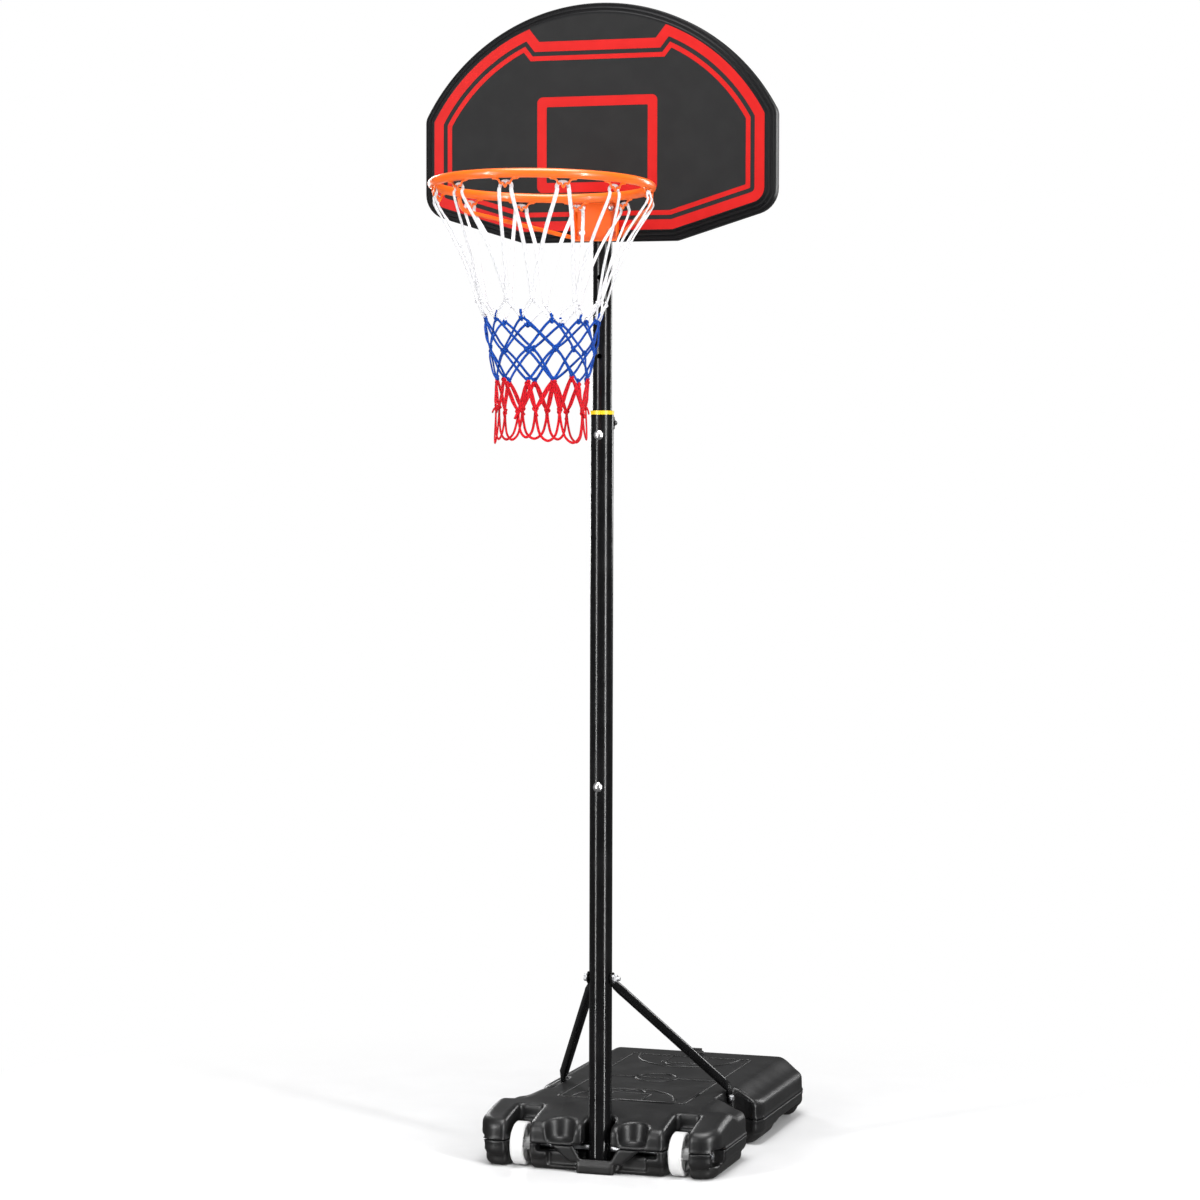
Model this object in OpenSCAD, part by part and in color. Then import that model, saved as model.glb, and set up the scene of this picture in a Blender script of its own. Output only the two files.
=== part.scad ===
// Portable basketball hoop: a rolling tank base, a telescoping pole, a moulded board and a netted ring.
// Millimetres, +Z up. The origin lies on the floor under the pole's axis; the board faces -Y.

/* [Base tank] */
// Width of the tank
base_w = 500; // [460:5:540]
// How far the tank reaches forward of the pole's axis
base_front = 35; // [32:1:45]
// How far the tank reaches behind the pole's axis
base_back = 705; // [690:5:760]
// Height of the tank's top deck
base_h = 116; // [112:1:124]
// Height of the moulding's parting line
parting_z = 52; // [46:1:56]
// Width of the narrow waist between the two blocks
waist_w = 350; // [340:2:360]

/* [Wheels] */
// Diameter of a wheel
wheel_d = 85; // [78:1:88]
// Width of a wheel's tread
wheel_w = 26; // [20:1:32]
// Distance from the middle to a wheel's middle
wheel_x = 163; // [160:1:166]
// Diameter of the axle rod
axle_d = 10; // [8:0.5:12]

/* [Pole] */
// Outside diameter of the lower and middle tubes
pole_d = 45; // [44:0.5:46]
// Outside diameter of the sliding upper tube
slide_d = 38; // [37:0.5:38.5]
// Wall thickness of the outer tubes
pole_wall = 1.6; // [1.4:0.1:1.8]
// Height of the joint between the lower and middle tubes
joint_z = 718; // [700:1:740]
// Height of the middle tube's top edge
collar_z = 1483; // [1470:1:1495]
// Height of the index hole that the height bolt stands at
index_z = 1443; // [1430:1:1446]
// Distance between index holes
index_pitch = 152.4; // [140:0.2:152.4]

/* [Board] */
// Width of the board
board_w = 710; // [700:5:730]
// Height of the board
board_h = 458; // [450:2:470]
// Depth of the board's side wall
board_t = 32; // [30:1:34]
// Height of the board's lower edge above the floor
board_z = 1816; // [1800:1:1820]
// Radius of the board's arched top
arch_r = 400; // [396:1:410]

/* [Ring and net] */
// Radius of the ring's centre line
ring_r = 201; // [198:1:205]
// Diameter of the ring's rod
ring_rod_d = 17; // [16:0.5:18]
// Distance from the pole's axis to the ring's centre
ring_reach = 360; // [355:1:365]
// Height of the ring's centre
ring_z = 1898.5; // [1896:0.5:1900]
// Upward tilt of the ring's front, in degrees
ring_tilt = 2.4; // [2:0.1:2.6]
// Number of net hooks around the ring
hook_count = 12; // [12:1:12]

/* [Hidden] */
$fn = 64;
tiny = 0.01;

// Base tank
base_hw = base_w / 2;
block_front_y1 = 215;
block_rear_y0 = 295;
notch_y1 = 330;
tuck = 12;
lip_h = 8;
front_top_z = base_h - 3;
shoulder_z = 90;
deck_hw = 175;
deck_inset = 28;
corner_r = 42;
waist_hw = waist_w / 2;
tank_wall = 7;
cavity_hw = waist_hw - 15;
cavity_y0 = 70;
side_cavity_hw = base_hw - 14;
side_cavity_top = 84;
arch_h = 28;
arch_y0 = 450;
arch_y1 = 600;
arch_depth = 60;
well_w = 50;
well_back = 60;
scoop_x = 75;
scoop_y = -27;
scoop_r = 34;
scoop_foot_r = 25;
scoop_z = 58;
channel_hw = 29;
channel_back = 30;
pole_seat_z = 20;
slot_x0 = 52;
slot_x1 = 137;
slot_z0 = 35;
slot_z1 = 51;
tie_t = 10;
side_pocket_x = 221;

// Filler
cap_y = 660;
cap_plug_r = 14.6;
cap_hole_r = 15;
cap_flange_r = 18;

// Wheels and axle
axle_y = 3;
axle_z = 44;
axle_r = axle_d / 2;
axle_half = 231;
run_gap = 0.06;
hub_r = 12;
hub_len = 44;
push_nut_r = 9;

// Pole
pole_r = pole_d / 2;
bore_r = pole_r - pole_wall;
neck_len = 75;
neck_r = bore_r - 0.1;
slide_r = slide_d / 2;
slide_wall = 1.5;
slide_bottom = index_z - 2 * index_pitch - 28;
slide_top = 2200;
bush_gap = 0.05;
bush_len = 24;
bush_lip = 6;
collar_lip = 7.5;
collar_sleeve = 8;
index_hole_r = 5.2;
joint_bolt_z = joint_z + 40;
clamp_z = collar_z - 16;
boss_r = 9;
boss_len = 9;
screw_r = 4;
knob_r = 15;
knob_lobes = 6;
dome_r = 9.5;
dome_h = 5;

// Struts
strut_z = 381;
strut_x = 24.3;
foot_x = waist_hw + 3;
foot_y = 307;
foot_z = 98;
strut_r = 9.5;
strut_plate_t = 3;
strut_plate_r = 12;
blend_len = 26;
strut_wall = 1.6;

// Bolts, nuts and screws
bolt_r = 4;
bolt_hole_r = bolt_r + 0.2;
hex_r = 7.5;
hex_h = 5.3;
nut_across = 13;
nut_h = 6.8;
foot_screw_r = 2.5;
foot_hex_r = 5.2;
strap_screw_r = 1.9;

// Board
face_y = -37.2;
skin_t = 5;
skin_back = face_y + skin_t;
board_back = face_y + board_t;
board_hw = board_w / 2;
flat_hw = 156;
slant_a = 16.9;
shoulder_r = 30;
foot_r = 50;
wall_t = 5;
frame_w = 22;
step_1 = 16;
step_2 = 8;
step_h = 3;
rib_t = 3;
rib_x = [60, 205];
rib_z = [150, 300];
rib_back = board_back - 3;

// Ring bracket and fixings
plate_t = 3;
plate_hw = 45;
plate_h = 80;
fix_x = 30;
fix_z = [1833, 1881];
fix_r = 3;
fix_hole_r = 3.3;
web_hw = 50;
cheek_in = slide_r + 0.2;
cheek_out = cheek_in + plate_t;
cross_z = [1842, 1880];
strap_z = 2120;
strap_h = 24;
strap_x = 38;
tongue_z = ring_z - 9;
ring_rod_r = ring_rod_d / 2;
brace_r = 4;
hook_wire_r = 1.9;
hook_half = 14;
hook_drop = 17;

// Net
net_top = ring_z - 44;
net_wall = 3;
net_profile = [[0, 186], [110, 140], [212, 104], [315, 82], [430, 84]];

// ---------- shared shapes ----------

// Upright box with rounded vertical corners, from exact boxes and cylinders
module rounded_slab(x, y0, y1, r, z0, z1) {
    translate([-x + r, y0, z0]) cube([2 * x - 2 * r, y1 - y0, z1 - z0]);
    translate([-x, y0 + r, z0]) cube([2 * x, y1 - y0 - 2 * r, z1 - z0]);
    for (sx = [-1, 1], y = [y0 + r, y1 - r])
        translate([sx * (x - r), y, z0]) cylinder(r = r, h = z1 - z0, $fn = 32);
}

// Box given by its two corners
module block(low, high) {
    translate(low) cube(high - low);
}

// Cylinder along X, from x0 to x1
module rod_x(r, x0, x1) {
    translate([x0, 0, 0]) rotate([0, 90, 0]) cylinder(r = r, h = x1 - x0);
}

// Cylinder along Y, from y0 to y1
module rod_y(r, y0, y1) {
    translate([0, y1, 0]) rotate([90, 0, 0]) cylinder(r = r, h = y1 - y0);
}

// Straight round rod between two points
module rod_between(a, b, r) {
    d = b - a;
    len = norm(d);
    translate(a)
        rotate([0, acos(d[2] / len), atan2(d[1], d[0])])
            cylinder(r = r, h = len, $fn = 32);
}

// Tube with its axis on Z
module tube(outer, inner, z0, z1) {
    difference() {
        translate([0, 0, z0]) cylinder(r = outer, h = z1 - z0);
        translate([0, 0, z0 - 1]) cylinder(r = inner, h = z1 - z0 + 2);
    }
}

// Domed bolt head: a ball's cap of height h and rim radius r, standing on z = 0
module dome_head(r, h) {
    ball_r = (r * r + h * h) / (2 * h);
    intersection() {
        translate([0, 0, h - ball_r]) sphere(r = ball_r);
        cylinder(r = r + 1, h = h + 1);
    }
}

// Hexagon nut on z = 0, with a plain bore
module hex_nut(across, h, hole) {
    difference() {
        cylinder(r = across / sqrt(3), h = h, $fn = 6);
        translate([0, 0, -1]) cylinder(r = hole, h = h + 2);
    }
}

// Flat washer on z = 0
module washer(outer, hole, h) {
    difference() {
        cylinder(r = outer, h = h);
        translate([0, 0, -1]) cylinder(r = hole, h = h + 2);
    }
}

// Turns a shape that stands on +Z to stand on -Y
module face_front() {
    rotate([90, 0, 0]) children();
}

// Turns a shape that stands on +Z to stand on +Y
module face_back() {
    rotate([-90, 0, 0]) children();
}

// ---------- base ----------

// Water or sand space inside the tank; grow is negative for what fills it
module tank_space(grow, top) {
    block([-cavity_hw - grow, cavity_y0 - grow, tank_wall - grow],
          [cavity_hw + grow, base_back - 15 + grow, top + grow]);
    block([-side_cavity_hw - grow, cavity_y0 + 10 - grow, tank_wall - grow],
          [side_cavity_hw + grow, block_front_y1 - 16 + grow, parting_z - 4 + grow]);
    block([-side_cavity_hw - grow, notch_y1 + 10 - grow, arch_h + tank_wall - grow],
          [side_cavity_hw + grow, base_back - 15 + grow, side_cavity_top + grow]);
}

// Block with a tucked-in foot, a lip at the parting line and a drafted upper half
module tank_block(y0, y1, top_hw, top_y0, top_y1, side_top, top_z) {
    rounded_slab(base_hw - tuck, y0 + tuck, y1 - tuck, corner_r - tuck, 0, parting_z);
    rounded_slab(base_hw, y0, y1, corner_r, parting_z - lip_h / 2, parting_z + lip_h / 2);
    hull() {
        rounded_slab(base_hw - 3, y0 + 2, y1 - 2, corner_r - 3, parting_z, side_top);
        rounded_slab(top_hw, top_y0, top_y1, corner_r - 10, top_z - 1, top_z);
    }
}

module tank_outside() {
    tank_block(-base_front, block_front_y1, base_hw - deck_inset, -base_front + 14,
               block_front_y1 - 12, front_top_z - 26, front_top_z);
    tank_block(block_rear_y0, base_back, deck_hw, block_rear_y0 + 15, base_back - 12,
               shoulder_z, base_h);
    block([-waist_hw, 150, 0], [waist_hw, notch_y1 + 20, front_top_z]);
    block([-waist_hw + 12, 170, front_top_z - tiny], [waist_hw - 12, notch_y1 + 20, base_h]);
}

// Everything cut away around one wheel, on the +X side
module wheel_well() {
    block([wheel_x - well_w / 2, -base_front - 20, -1],
          [wheel_x + well_w / 2, well_back, base_h + 10]);
    translate([0, axle_y, axle_z]) rod_x(axle_r + 0.3, 20, side_pocket_x + 5);
    block([side_pocket_x, -base_front - 5, axle_z - 20], [base_hw + 5, 26, axle_z + 14]);
}

// Cup-shaped scoop beside the pole, on the +X side
module scoop() {
    translate([scoop_x, scoop_y, scoop_z])
        cylinder(r1 = scoop_foot_r, r2 = scoop_r, h = base_h - scoop_z + 5);
    block([slot_x0, -base_front - 20, slot_z0], [slot_x1, axle_y + 8, slot_z1]);
    block([slot_x0 + 8, -base_front - 20, 8], [slot_x0 + 34, -base_front + 22, slot_z0 + 1]);
    block([slot_x0 + 42, -base_front - 20, 8], [slot_x0 + 70, -base_front + 22, slot_z0 + 1]);
}

// Waist notch and strut-foot pocket, on the +X side
module side_cuts() {
    translate([waist_hw, 0, -1])
        linear_extrude(height = base_h + 10)
            polygon([[0, block_front_y1 + 20], [12, block_front_y1 + 4],
                     [90, block_front_y1 + 1], [90, block_rear_y0 - 12],
                     [34, notch_y1], [0, notch_y1]]);
    block([base_hw - arch_depth, arch_y0, -1], [base_hw + 5, arch_y1, arch_h]);
    translate([0, foot_y, foot_z]) rod_x(foot_screw_r + 0.1, waist_hw - 13, waist_hw + 5);
}

module base_tank() {
    color([0.12, 0.12, 0.12])
    difference() {
        union() {
            difference() {
                tank_outside();
                for (m = [0, 1]) mirror([m, 0, 0]) {
                    wheel_well();
                    scoop();
                    side_cuts();
                }
                block([-channel_hw, -base_front - 20, pole_seat_z],
                      [channel_hw, channel_back - channel_hw, base_h + 10]);
                translate([0, channel_back - channel_hw, pole_seat_z])
                    cylinder(r = channel_hw, h = base_h);
                tank_space(0, base_h - tank_wall);
            }
            tie_band();
        }
        translate([0, cap_y, base_h - 20]) cylinder(r = cap_hole_r, h = 40);
    }
}

// V-shaped band that closes the pole's channel across the front
module tie_band() {
    translate([0, -base_front + tie_t, 0])
        rotate([90, 0, 0])
            linear_extrude(height = tie_t)
                polygon([[-84, 59], [-50, 59], [-31, 27], [31, 27], [50, 59], [84, 59],
                         [84, 47], [52, 20], [-52, 20], [-84, 47]]);
    block([-38, -base_front - 3, 0], [38, -base_front + 12, pole_seat_z]);
}

module ballast_fill() {
    color([0.55, 0.65, 0.7])
        tank_space(-0.5, base_h - tank_wall - 14);
}

module filler_cap() {
    color([0.08, 0.08, 0.08])
    translate([0, cap_y, 0]) {
        translate([0, 0, base_h - 8]) cylinder(r = cap_plug_r, h = 9.6);
        translate([0, 0, base_h + 1.6]) cylinder(r = cap_flange_r, h = 4);
        translate([-cap_flange_r + 4, -3.5, base_h + 5.6]) cube([2 * cap_flange_r - 8, 7, 7]);
    }
}

module filler_gasket() {
    color([0.2, 0.2, 0.2])
    translate([0, cap_y, base_h + 0.1]) washer(cap_flange_r - 0.5, cap_plug_r + 0.1, 1.5);
}

module wheel_axle() {
    color([0.78, 0.78, 0.78])
    translate([0, axle_y, axle_z]) rod_x(axle_r, -axle_half, axle_half);
}

module axle_push_nuts() {
    color([0.85, 0.85, 0.85])
    for (m = [0, 1]) mirror([m, 0, 0])
        translate([axle_half - 7, axle_y, axle_z])
            rotate([0, 90, 0]) difference() {
                union() {
                    cylinder(r = push_nut_r, h = 1.5);
                    cylinder(r = axle_r + 2, h = 5);
                }
                translate([0, 0, -1]) cylinder(r = axle_r, h = 8);
            }
}

// One-piece moulded wheel: tread, web, ribs and a long hub with a running bore
module wheel() {
    half = wheel_w / 2;
    r = wheel_d / 2;
    rim_in = r - 7;
    bore = axle_r + run_gap;
    rotate([0, 90, 0]) {
        rotate_extrude()
            polygon([[bore, -hub_len / 2], [hub_r, -hub_len / 2], [hub_r, -2], [rim_in, -2],
                     [rim_in, -half], [r - 3, -half], [r, -half + 3], [r, half - 3],
                     [r - 3, half], [rim_in, half], [rim_in, 2], [hub_r, 2],
                     [hub_r, hub_len / 2], [bore, hub_len / 2]]);
        for (i = [0 : 5]) rotate([0, 0, 60 * i])
            translate([hub_r - 1, -1.5, -half + 3])
                cube([rim_in - hub_r + 2, 3, wheel_w - 6]);
    }
}

module wheel_left() {
    color([0.95, 0.95, 0.95])
    translate([-wheel_x, axle_y, axle_z]) wheel();
}

module wheel_right() {
    color([0.95, 0.95, 0.95])
    translate([wheel_x, axle_y, axle_z]) wheel();
}

// ---------- pole ----------

module pole_foot_plug() {
    color([0.1, 0.1, 0.1]) {
        translate([0, 0, pole_seat_z]) cylinder(r = pole_r, h = 2);
        translate([0, 0, pole_seat_z + 2]) cylinder(r = bore_r - 0.1, h = 10);
    }
}

module pole_lower() {
    color([0.06, 0.06, 0.06])
    difference() {
        union() {
            tube(pole_r, bore_r, pole_seat_z + 2, joint_z);
            tube(bore_r + 0.5, bore_r - pole_wall, joint_z - 8, joint_z);
            tube(neck_r, bore_r - pole_wall, joint_z - 4, joint_z + neck_len);
        }
        translate([0, axle_y, axle_z]) rod_x(axle_r + 0.2, -40, 40);
        translate([0, 0, strut_z]) rod_x(bolt_hole_r, -40, 40);
        translate([0, 0, joint_bolt_z]) rod_y(bolt_hole_r, -40, 40);
    }
}

module pole_middle() {
    color([0.06, 0.06, 0.06])
    difference() {
        tube(pole_r, bore_r, joint_z, collar_z);
        translate([0, 0, joint_bolt_z]) rod_y(bolt_hole_r, -40, 40);
        translate([0, 0, index_z]) rod_y(index_hole_r, -40, 0);
        translate([0, 0, clamp_z]) rod_y(screw_r + 0.3, 0, 40);
    }
}

module joint_bolt() {
    color([0.85, 0.85, 0.85])
    translate([0, 0, joint_bolt_z]) {
        translate([0, -pole_r - 0.05, 0]) face_front() dome_head(dome_r, dome_h);
        rod_y(bolt_r, -pole_r - 0.05, pole_r + 10);
    }
}

module joint_nut() {
    color([0.85, 0.85, 0.85])
    translate([0, pole_r + 0.1, joint_bolt_z]) face_back() hex_nut(nut_across, nut_h, bolt_r);
}

// The bolt's tip stops just short of the sliding tube, so the tube is free to slide
module height_bolt() {
    color([0.85, 0.85, 0.85])
    translate([0, 0, index_z]) {
        translate([0, -pole_r - 0.05, 0]) face_front() dome_head(dome_r, dome_h);
        rod_y(5, -pole_r - 0.05, -slide_r - 0.4);
    }
}

module guide_collar() {
    color([0.95, 0.85, 0.1])
    difference() {
        union() {
            translate([0, 0, collar_z]) cylinder(r = pole_r + 0.6, h = collar_lip);
            translate([0, 0, collar_z - collar_sleeve]) cylinder(r = bore_r - 0.05, h = 9);
        }
        translate([0, 0, collar_z - 20]) cylinder(r = slide_r + bush_gap, h = 40);
    }
}

module clamp_boss() {
    color([0.06, 0.06, 0.06])
    translate([0, 0, clamp_z]) difference() {
        rod_y(boss_r, pole_r - 3, pole_r + boss_len);
        translate([0, 0, -20]) cylinder(r = pole_r + 0.05, h = 40);
        rod_y(screw_r + run_gap, 0, pole_r + boss_len + 5);
    }
}

module clamp_screw() {
    color([0.8, 0.8, 0.8])
    translate([0, 0, clamp_z]) rod_y(screw_r, slide_r + 0.4, pole_r + boss_len + 14);
}

module clamp_knob() {
    grip_y = pole_r + boss_len + 2;
    color([0.05, 0.05, 0.05])
    translate([0, grip_y, clamp_z]) difference() {
        union() {
            rod_y(9, 0, 16);
            for (i = [0 : knob_lobes - 1]) rotate([0, 60 * i, 0])
                translate([knob_r - 5, 0, 0]) rod_y(5, 3, 17);
            rod_y(knob_r - 3.4, 2.6, 18);
        }
        rod_y(screw_r, -1, 12);
    }
}

// ---------- struts ----------

// Flattened strut end: a flat tab from the bolt to the knee, then a blend into the round tube
module strut_end(bolt, knee, neck_a, neck_b) {
    turn = atan2(bolt[1] - knee[1], knee[2] - bolt[2]);
    translate(bolt) {
        rod_x(strut_plate_r, -strut_plate_t / 2, strut_plate_t / 2);
        rotate([turn, 0, 0])
            translate([-strut_plate_t / 2, -strut_plate_r + 1, 0])
                cube([strut_plate_t, 2 * strut_plate_r - 2, norm(knee - bolt)]);
    }
    hull() {
        translate(knee)
            rotate([0, 90, 0])
                cylinder(r = strut_plate_r - 1.7, h = strut_plate_t - 0.5, center = true, $fn = 24);
        rod_between(neck_a, neck_b, strut_r + 0.3);
    }
}

// Tube with flattened ends, from the pole's bolt down to the tank's waist, on the +X side
module strut() {
    top = [strut_x, 0, strut_z];
    top_knee = [strut_x, 18, strut_z - 15];
    knee = [foot_x + 0.2, foot_y - 11, foot_z + 24];
    foot = [foot_x + 0.2, foot_y, foot_z];
    run = (knee - top_knee) / norm(knee - top_knee);
    high = top_knee + run * blend_len;
    low = knee - run * blend_len;
    difference() {
        union() {
            difference() {
                rod_between(high, low, strut_r);
                rod_between(high + run * 3, low - run * 3, strut_r - strut_wall);
            }
            strut_end(top, top_knee, high - run * 1, high + run * 2);
            strut_end(foot, knee, low - run * 2, low + run * 1);
        }
        translate(top) rod_x(bolt_hole_r, -20, 9);
        translate(foot) rod_x(foot_screw_r + 0.3, -20, 20);
    }
}

module strut_left() {
    color([0.06, 0.06, 0.06]) mirror([1, 0, 0]) strut();
}

module strut_right() {
    color([0.06, 0.06, 0.06]) strut();
}

module strut_bolt() {
    x0 = strut_x + strut_plate_t / 2 + 2.2;
    color([0.85, 0.85, 0.85])
    translate([0, 0, strut_z]) {
        rod_x(bolt_r, -x0, x0 + 12);
        translate([-x0, 0, 0]) rotate([0, -90, 0]) cylinder(r = hex_r, h = hex_h, $fn = 6);
    }
}

module strut_washers() {
    color([0.85, 0.85, 0.85])
    for (m = [0, 1]) mirror([m, 0, 0])
        translate([strut_x + strut_plate_t / 2 + 0.3, 0, strut_z])
            rotate([0, 90, 0]) washer(8.5, bolt_r, 1.6);
}

module strut_nut() {
    color([0.85, 0.85, 0.85])
    translate([strut_x + strut_plate_t / 2 + 2.1, 0, strut_z])
        rotate([0, 90, 0]) hex_nut(nut_across, nut_h, bolt_r);
}

module strut_foot_screws() {
    x0 = foot_x + strut_plate_t / 2 + 0.4;
    color([0.85, 0.85, 0.85])
    for (m = [0, 1]) mirror([m, 0, 0])
        translate([x0, foot_y, foot_z]) {
            rod_x(foot_screw_r, -16, 0.1);
            rod_x(7, 0, 1.2);
            rotate([0, 90, 0]) translate([0, 0, 1.2]) cylinder(r = foot_hex_r, h = 4, $fn = 6);
        }
}

// ---------- sliding head ----------

module pole_upper() {
    color([0.06, 0.06, 0.06])
    difference() {
        tube(slide_r, slide_r - slide_wall, slide_bottom, slide_top);
        for (k = [-2 : 2])
            translate([0, 0, index_z + k * index_pitch]) rod_y(index_hole_r, -40, 40);
        for (z = cross_z)
            translate([0, 0, z]) rod_x(bolt_hole_r, -40, 40);
    }
}

module slide_bush() {
    color([0.9, 0.9, 0.88])
    difference() {
        translate([0, 0, slide_bottom - bush_lip]) cylinder(r = bore_r - bush_gap, h = bush_len);
        translate([0, 0, slide_bottom]) cylinder(r = slide_r, h = bush_len);
        translate([0, 0, slide_bottom - bush_lip - 1]) cylinder(r = slide_r - 4, h = bush_len);
    }
}

module pole_top_cap() {
    color([0.1, 0.1, 0.1]) {
        translate([0, 0, slide_top]) cylinder(r = slide_r, h = 3);
        translate([0, 0, slide_top - 15]) cylinder(r = slide_r - slide_wall - 0.05, h = 15);
    }
}

// Angle at the board's lower corner where the slanted edge meets the flat one
function bottom_turn() = tan(slant_a / 2);

// Points along an arc, from angle a0 to a1 in degrees
function arc(cx, cz, r, a0, a1, steps) =
    [for (i = [0 : steps]) let (a = a0 + (a1 - a0) * i / steps) [cx + r * cos(a), cz + r * sin(a)]];

// Half of the board's outline, moved inwards by k: flat foot, slant, side, shoulder, arched top
function board_half(k) =
    let (arch_cz = board_h - arch_r,
         sh_x = board_hw - shoulder_r,
         sh_z = arch_cz + sqrt(pow(arch_r - shoulder_r, 2) - pow(sh_x, 2)),
         sh_a = atan2(sh_z - arch_cz, sh_x),
         ft_x = board_hw - foot_r,
         ft_z = (ft_x - flat_hw) * tan(slant_a) + foot_r / cos(slant_a))
    concat([[flat_hw - k * bottom_turn(), k]],
           arc(ft_x, ft_z, foot_r - k, slant_a - 90, 0, 8),
           arc(sh_x, sh_z, shoulder_r - k, 0, sh_a, 5),
           arc(0, arch_cz, arch_r - k, sh_a + 4, 90, 14));

function board_outline(k) =
    let (half = board_half(k), n = len(half))
    concat(half, [for (i = [n - 2 : -1 : 0]) [-half[i][0], half[i][1]]]);

// Plate in the board's outline, inset by k, from depth y0 back to y1
module board_plate(k, y0, y1) {
    translate([0, y1, board_z])
        rotate([90, 0, 0])
            linear_extrude(height = y1 - y0)
                polygon(board_outline(k));
}

// Holes for the four bolts that hold the ring's bracket
module fix_holes() {
    for (x = [-fix_x, fix_x], z = fix_z) translate([x, 0, z]) rod_y(fix_hole_r, -50, -20);
}

// Flat field of the board
module backboard() {
    color([0.2, 0.2, 0.2])
    difference() {
        board_plate(frame_w, face_y, skin_back);
        fix_holes();
    }
}

// Stepped border and side wall around the field
module board_frame() {
    color([0.13, 0.13, 0.13])
    difference() {
        union() {
            board_plate(step_1, face_y, board_back);
            board_plate(step_2, face_y + step_h, board_back);
            board_plate(0, face_y + 2 * step_h, board_back);
        }
        board_plate(frame_w, face_y - 1, board_back + 1);
        board_plate(step_1 + 4, skin_back, board_back + 1);
        board_plate(step_2 + 6, skin_back + step_h, board_back + 1);
        board_plate(wall_t, skin_back + 2 * step_h, board_back + 1);
        pole_room();
        fix_holes();
    }
}

// Stiffening ribs and screw bosses behind the field
module board_ribs() {
    color([0.16, 0.16, 0.16])
    difference() {
        intersection() {
            union() {
                board_plate(step_1 + 4, skin_back, rib_back);
                board_plate(step_2 + 6, skin_back + step_h, rib_back);
                board_plate(wall_t, skin_back + 2 * step_h, rib_back);
            }
            rib_grid();
        }
        pole_room();
        for (x = [-strap_x, strap_x]) translate([x, 0, strap_z]) rod_y(strap_screw_r, -24, 10);
    }
}

module rib_grid() {
    for (m = [0, 1]) mirror([m, 0, 0]) {
        for (x = rib_x) block([x, -60, board_z], [x + rib_t, rib_back, board_z + board_h]);
        for (z = rib_z)
            block([rib_x[0], -60, board_z + z], [board_hw, rib_back, board_z + z + rib_t]);
        translate([strap_x, 0, strap_z]) rod_y(7, -60, rib_back);
        block([strap_x, -60, strap_z - 1.5], [rib_x[0] + 1, rib_back, strap_z + 1.5]);
    }
    block([-12, -60, strap_z - 15], [12, -slide_r - 0.3, strap_z + 15]);
}

// Room for the pole and its bracket behind the skin, through the board's lower wall
module pole_room() {
    block([-25, -25, board_z - 5], [25, 5, board_z + 60]);
    block([-web_hw - 1, skin_back, board_z + 5], [web_hw + 1, skin_back + 12, board_z + 84]);
}

// Pressed steel bracket: a web behind the board's skin and two cheeks beside the pole
module pole_bracket() {
    z0 = board_z + 7;
    z1 = board_z + 80;
    color([0.08, 0.08, 0.08])
    difference() {
        union() {
            block([-web_hw, skin_back, z0], [web_hw, skin_back + plate_t, z1]);
            for (m = [0, 1]) mirror([m, 0, 0])
                block([cheek_in, skin_back, z0], [cheek_out, 16, z1]);
        }
        fix_holes();
        for (z = cross_z) translate([0, 0, z]) rod_x(bolt_hole_r, -40, 40);
    }
}

module cross_bolts() {
    color([0.85, 0.85, 0.85])
    for (z = cross_z) translate([0, 0, z]) {
        rod_x(bolt_r, -cheek_out - 0.1, cheek_out + 10);
        translate([-cheek_out - 0.1, 0, 0]) rotate([0, -90, 0])
            cylinder(r = hex_r, h = hex_h, $fn = 6);
    }
}

module cross_nuts() {
    color([0.85, 0.85, 0.85])
    for (z = cross_z)
        translate([cheek_out + 0.1, 0, z]) rotate([0, 90, 0]) hex_nut(nut_across, nut_h, bolt_r);
}

// Steel strap that holds the pole's head against the board
module pole_strap() {
    r_in = slide_r + 0.15;
    color([0.08, 0.08, 0.08])
    translate([0, 0, strap_z - strap_h / 2])
    difference() {
        union() {
            difference() {
                cylinder(r = r_in + 2, h = strap_h);
                translate([-50, -100 - 4, -1]) cube([100, 100, strap_h + 2]);
            }
            for (m = [0, 1]) mirror([m, 0, 0])
                translate([r_in + 0.5, rib_back + 0.1, 0]) cube([strap_x + 9 - r_in, 2, strap_h]);
            for (m = [0, 1]) mirror([m, 0, 0])
                translate([r_in, rib_back + 0.1, 0]) cube([2, 8, strap_h]);
        }
        translate([0, 0, -1]) cylinder(r = r_in, h = strap_h + 2);
        for (x = [-strap_x, strap_x]) translate([x, 0, strap_h / 2]) rod_y(strap_screw_r + 0.3, -20, 10);
    }
}

module strap_screws() {
    color([0.8, 0.8, 0.8])
    for (x = [-strap_x, strap_x]) translate([x, 0, strap_z]) {
        rod_y(strap_screw_r, rib_back - 14, rib_back + 2.3);
        translate([0, rib_back + 2.2, 0]) face_back() dome_head(4.5, 2.6);
    }
}

// Bent plate on the board's face: lower and side lips, and a tongue that carries the ring
module rim_bracket() {
    y1 = face_y - 0.05;
    y0 = y1 - plate_t;
    z1 = board_z + plate_h;
    color([0.95, 0.38, 0.1])
    difference() {
        union() {
            block([-plate_hw, y0, board_z], [plate_hw, y1, z1]);
            block([-plate_hw, y0 - 11, board_z], [plate_hw, y1, board_z + plate_t]);
            for (m = [0, 1]) mirror([m, 0, 0])
                block([plate_hw - plate_t, y0 - 8, board_z], [plate_hw, y1, z1]);
            block([-plate_hw, -ring_reach + ring_r - 4, tongue_z], [plate_hw, y1, tongue_z + plate_t]);
        }
        fix_holes();
        tilt_ring() rotate_extrude($fn = 96) translate([ring_r, 0]) circle(r = ring_rod_r + 0.1, $fn = 32);
        translate([0, -ring_reach, tongue_z - 5]) cylinder(r = ring_r, h = 20, $fn = 96);
    }
}

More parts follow.
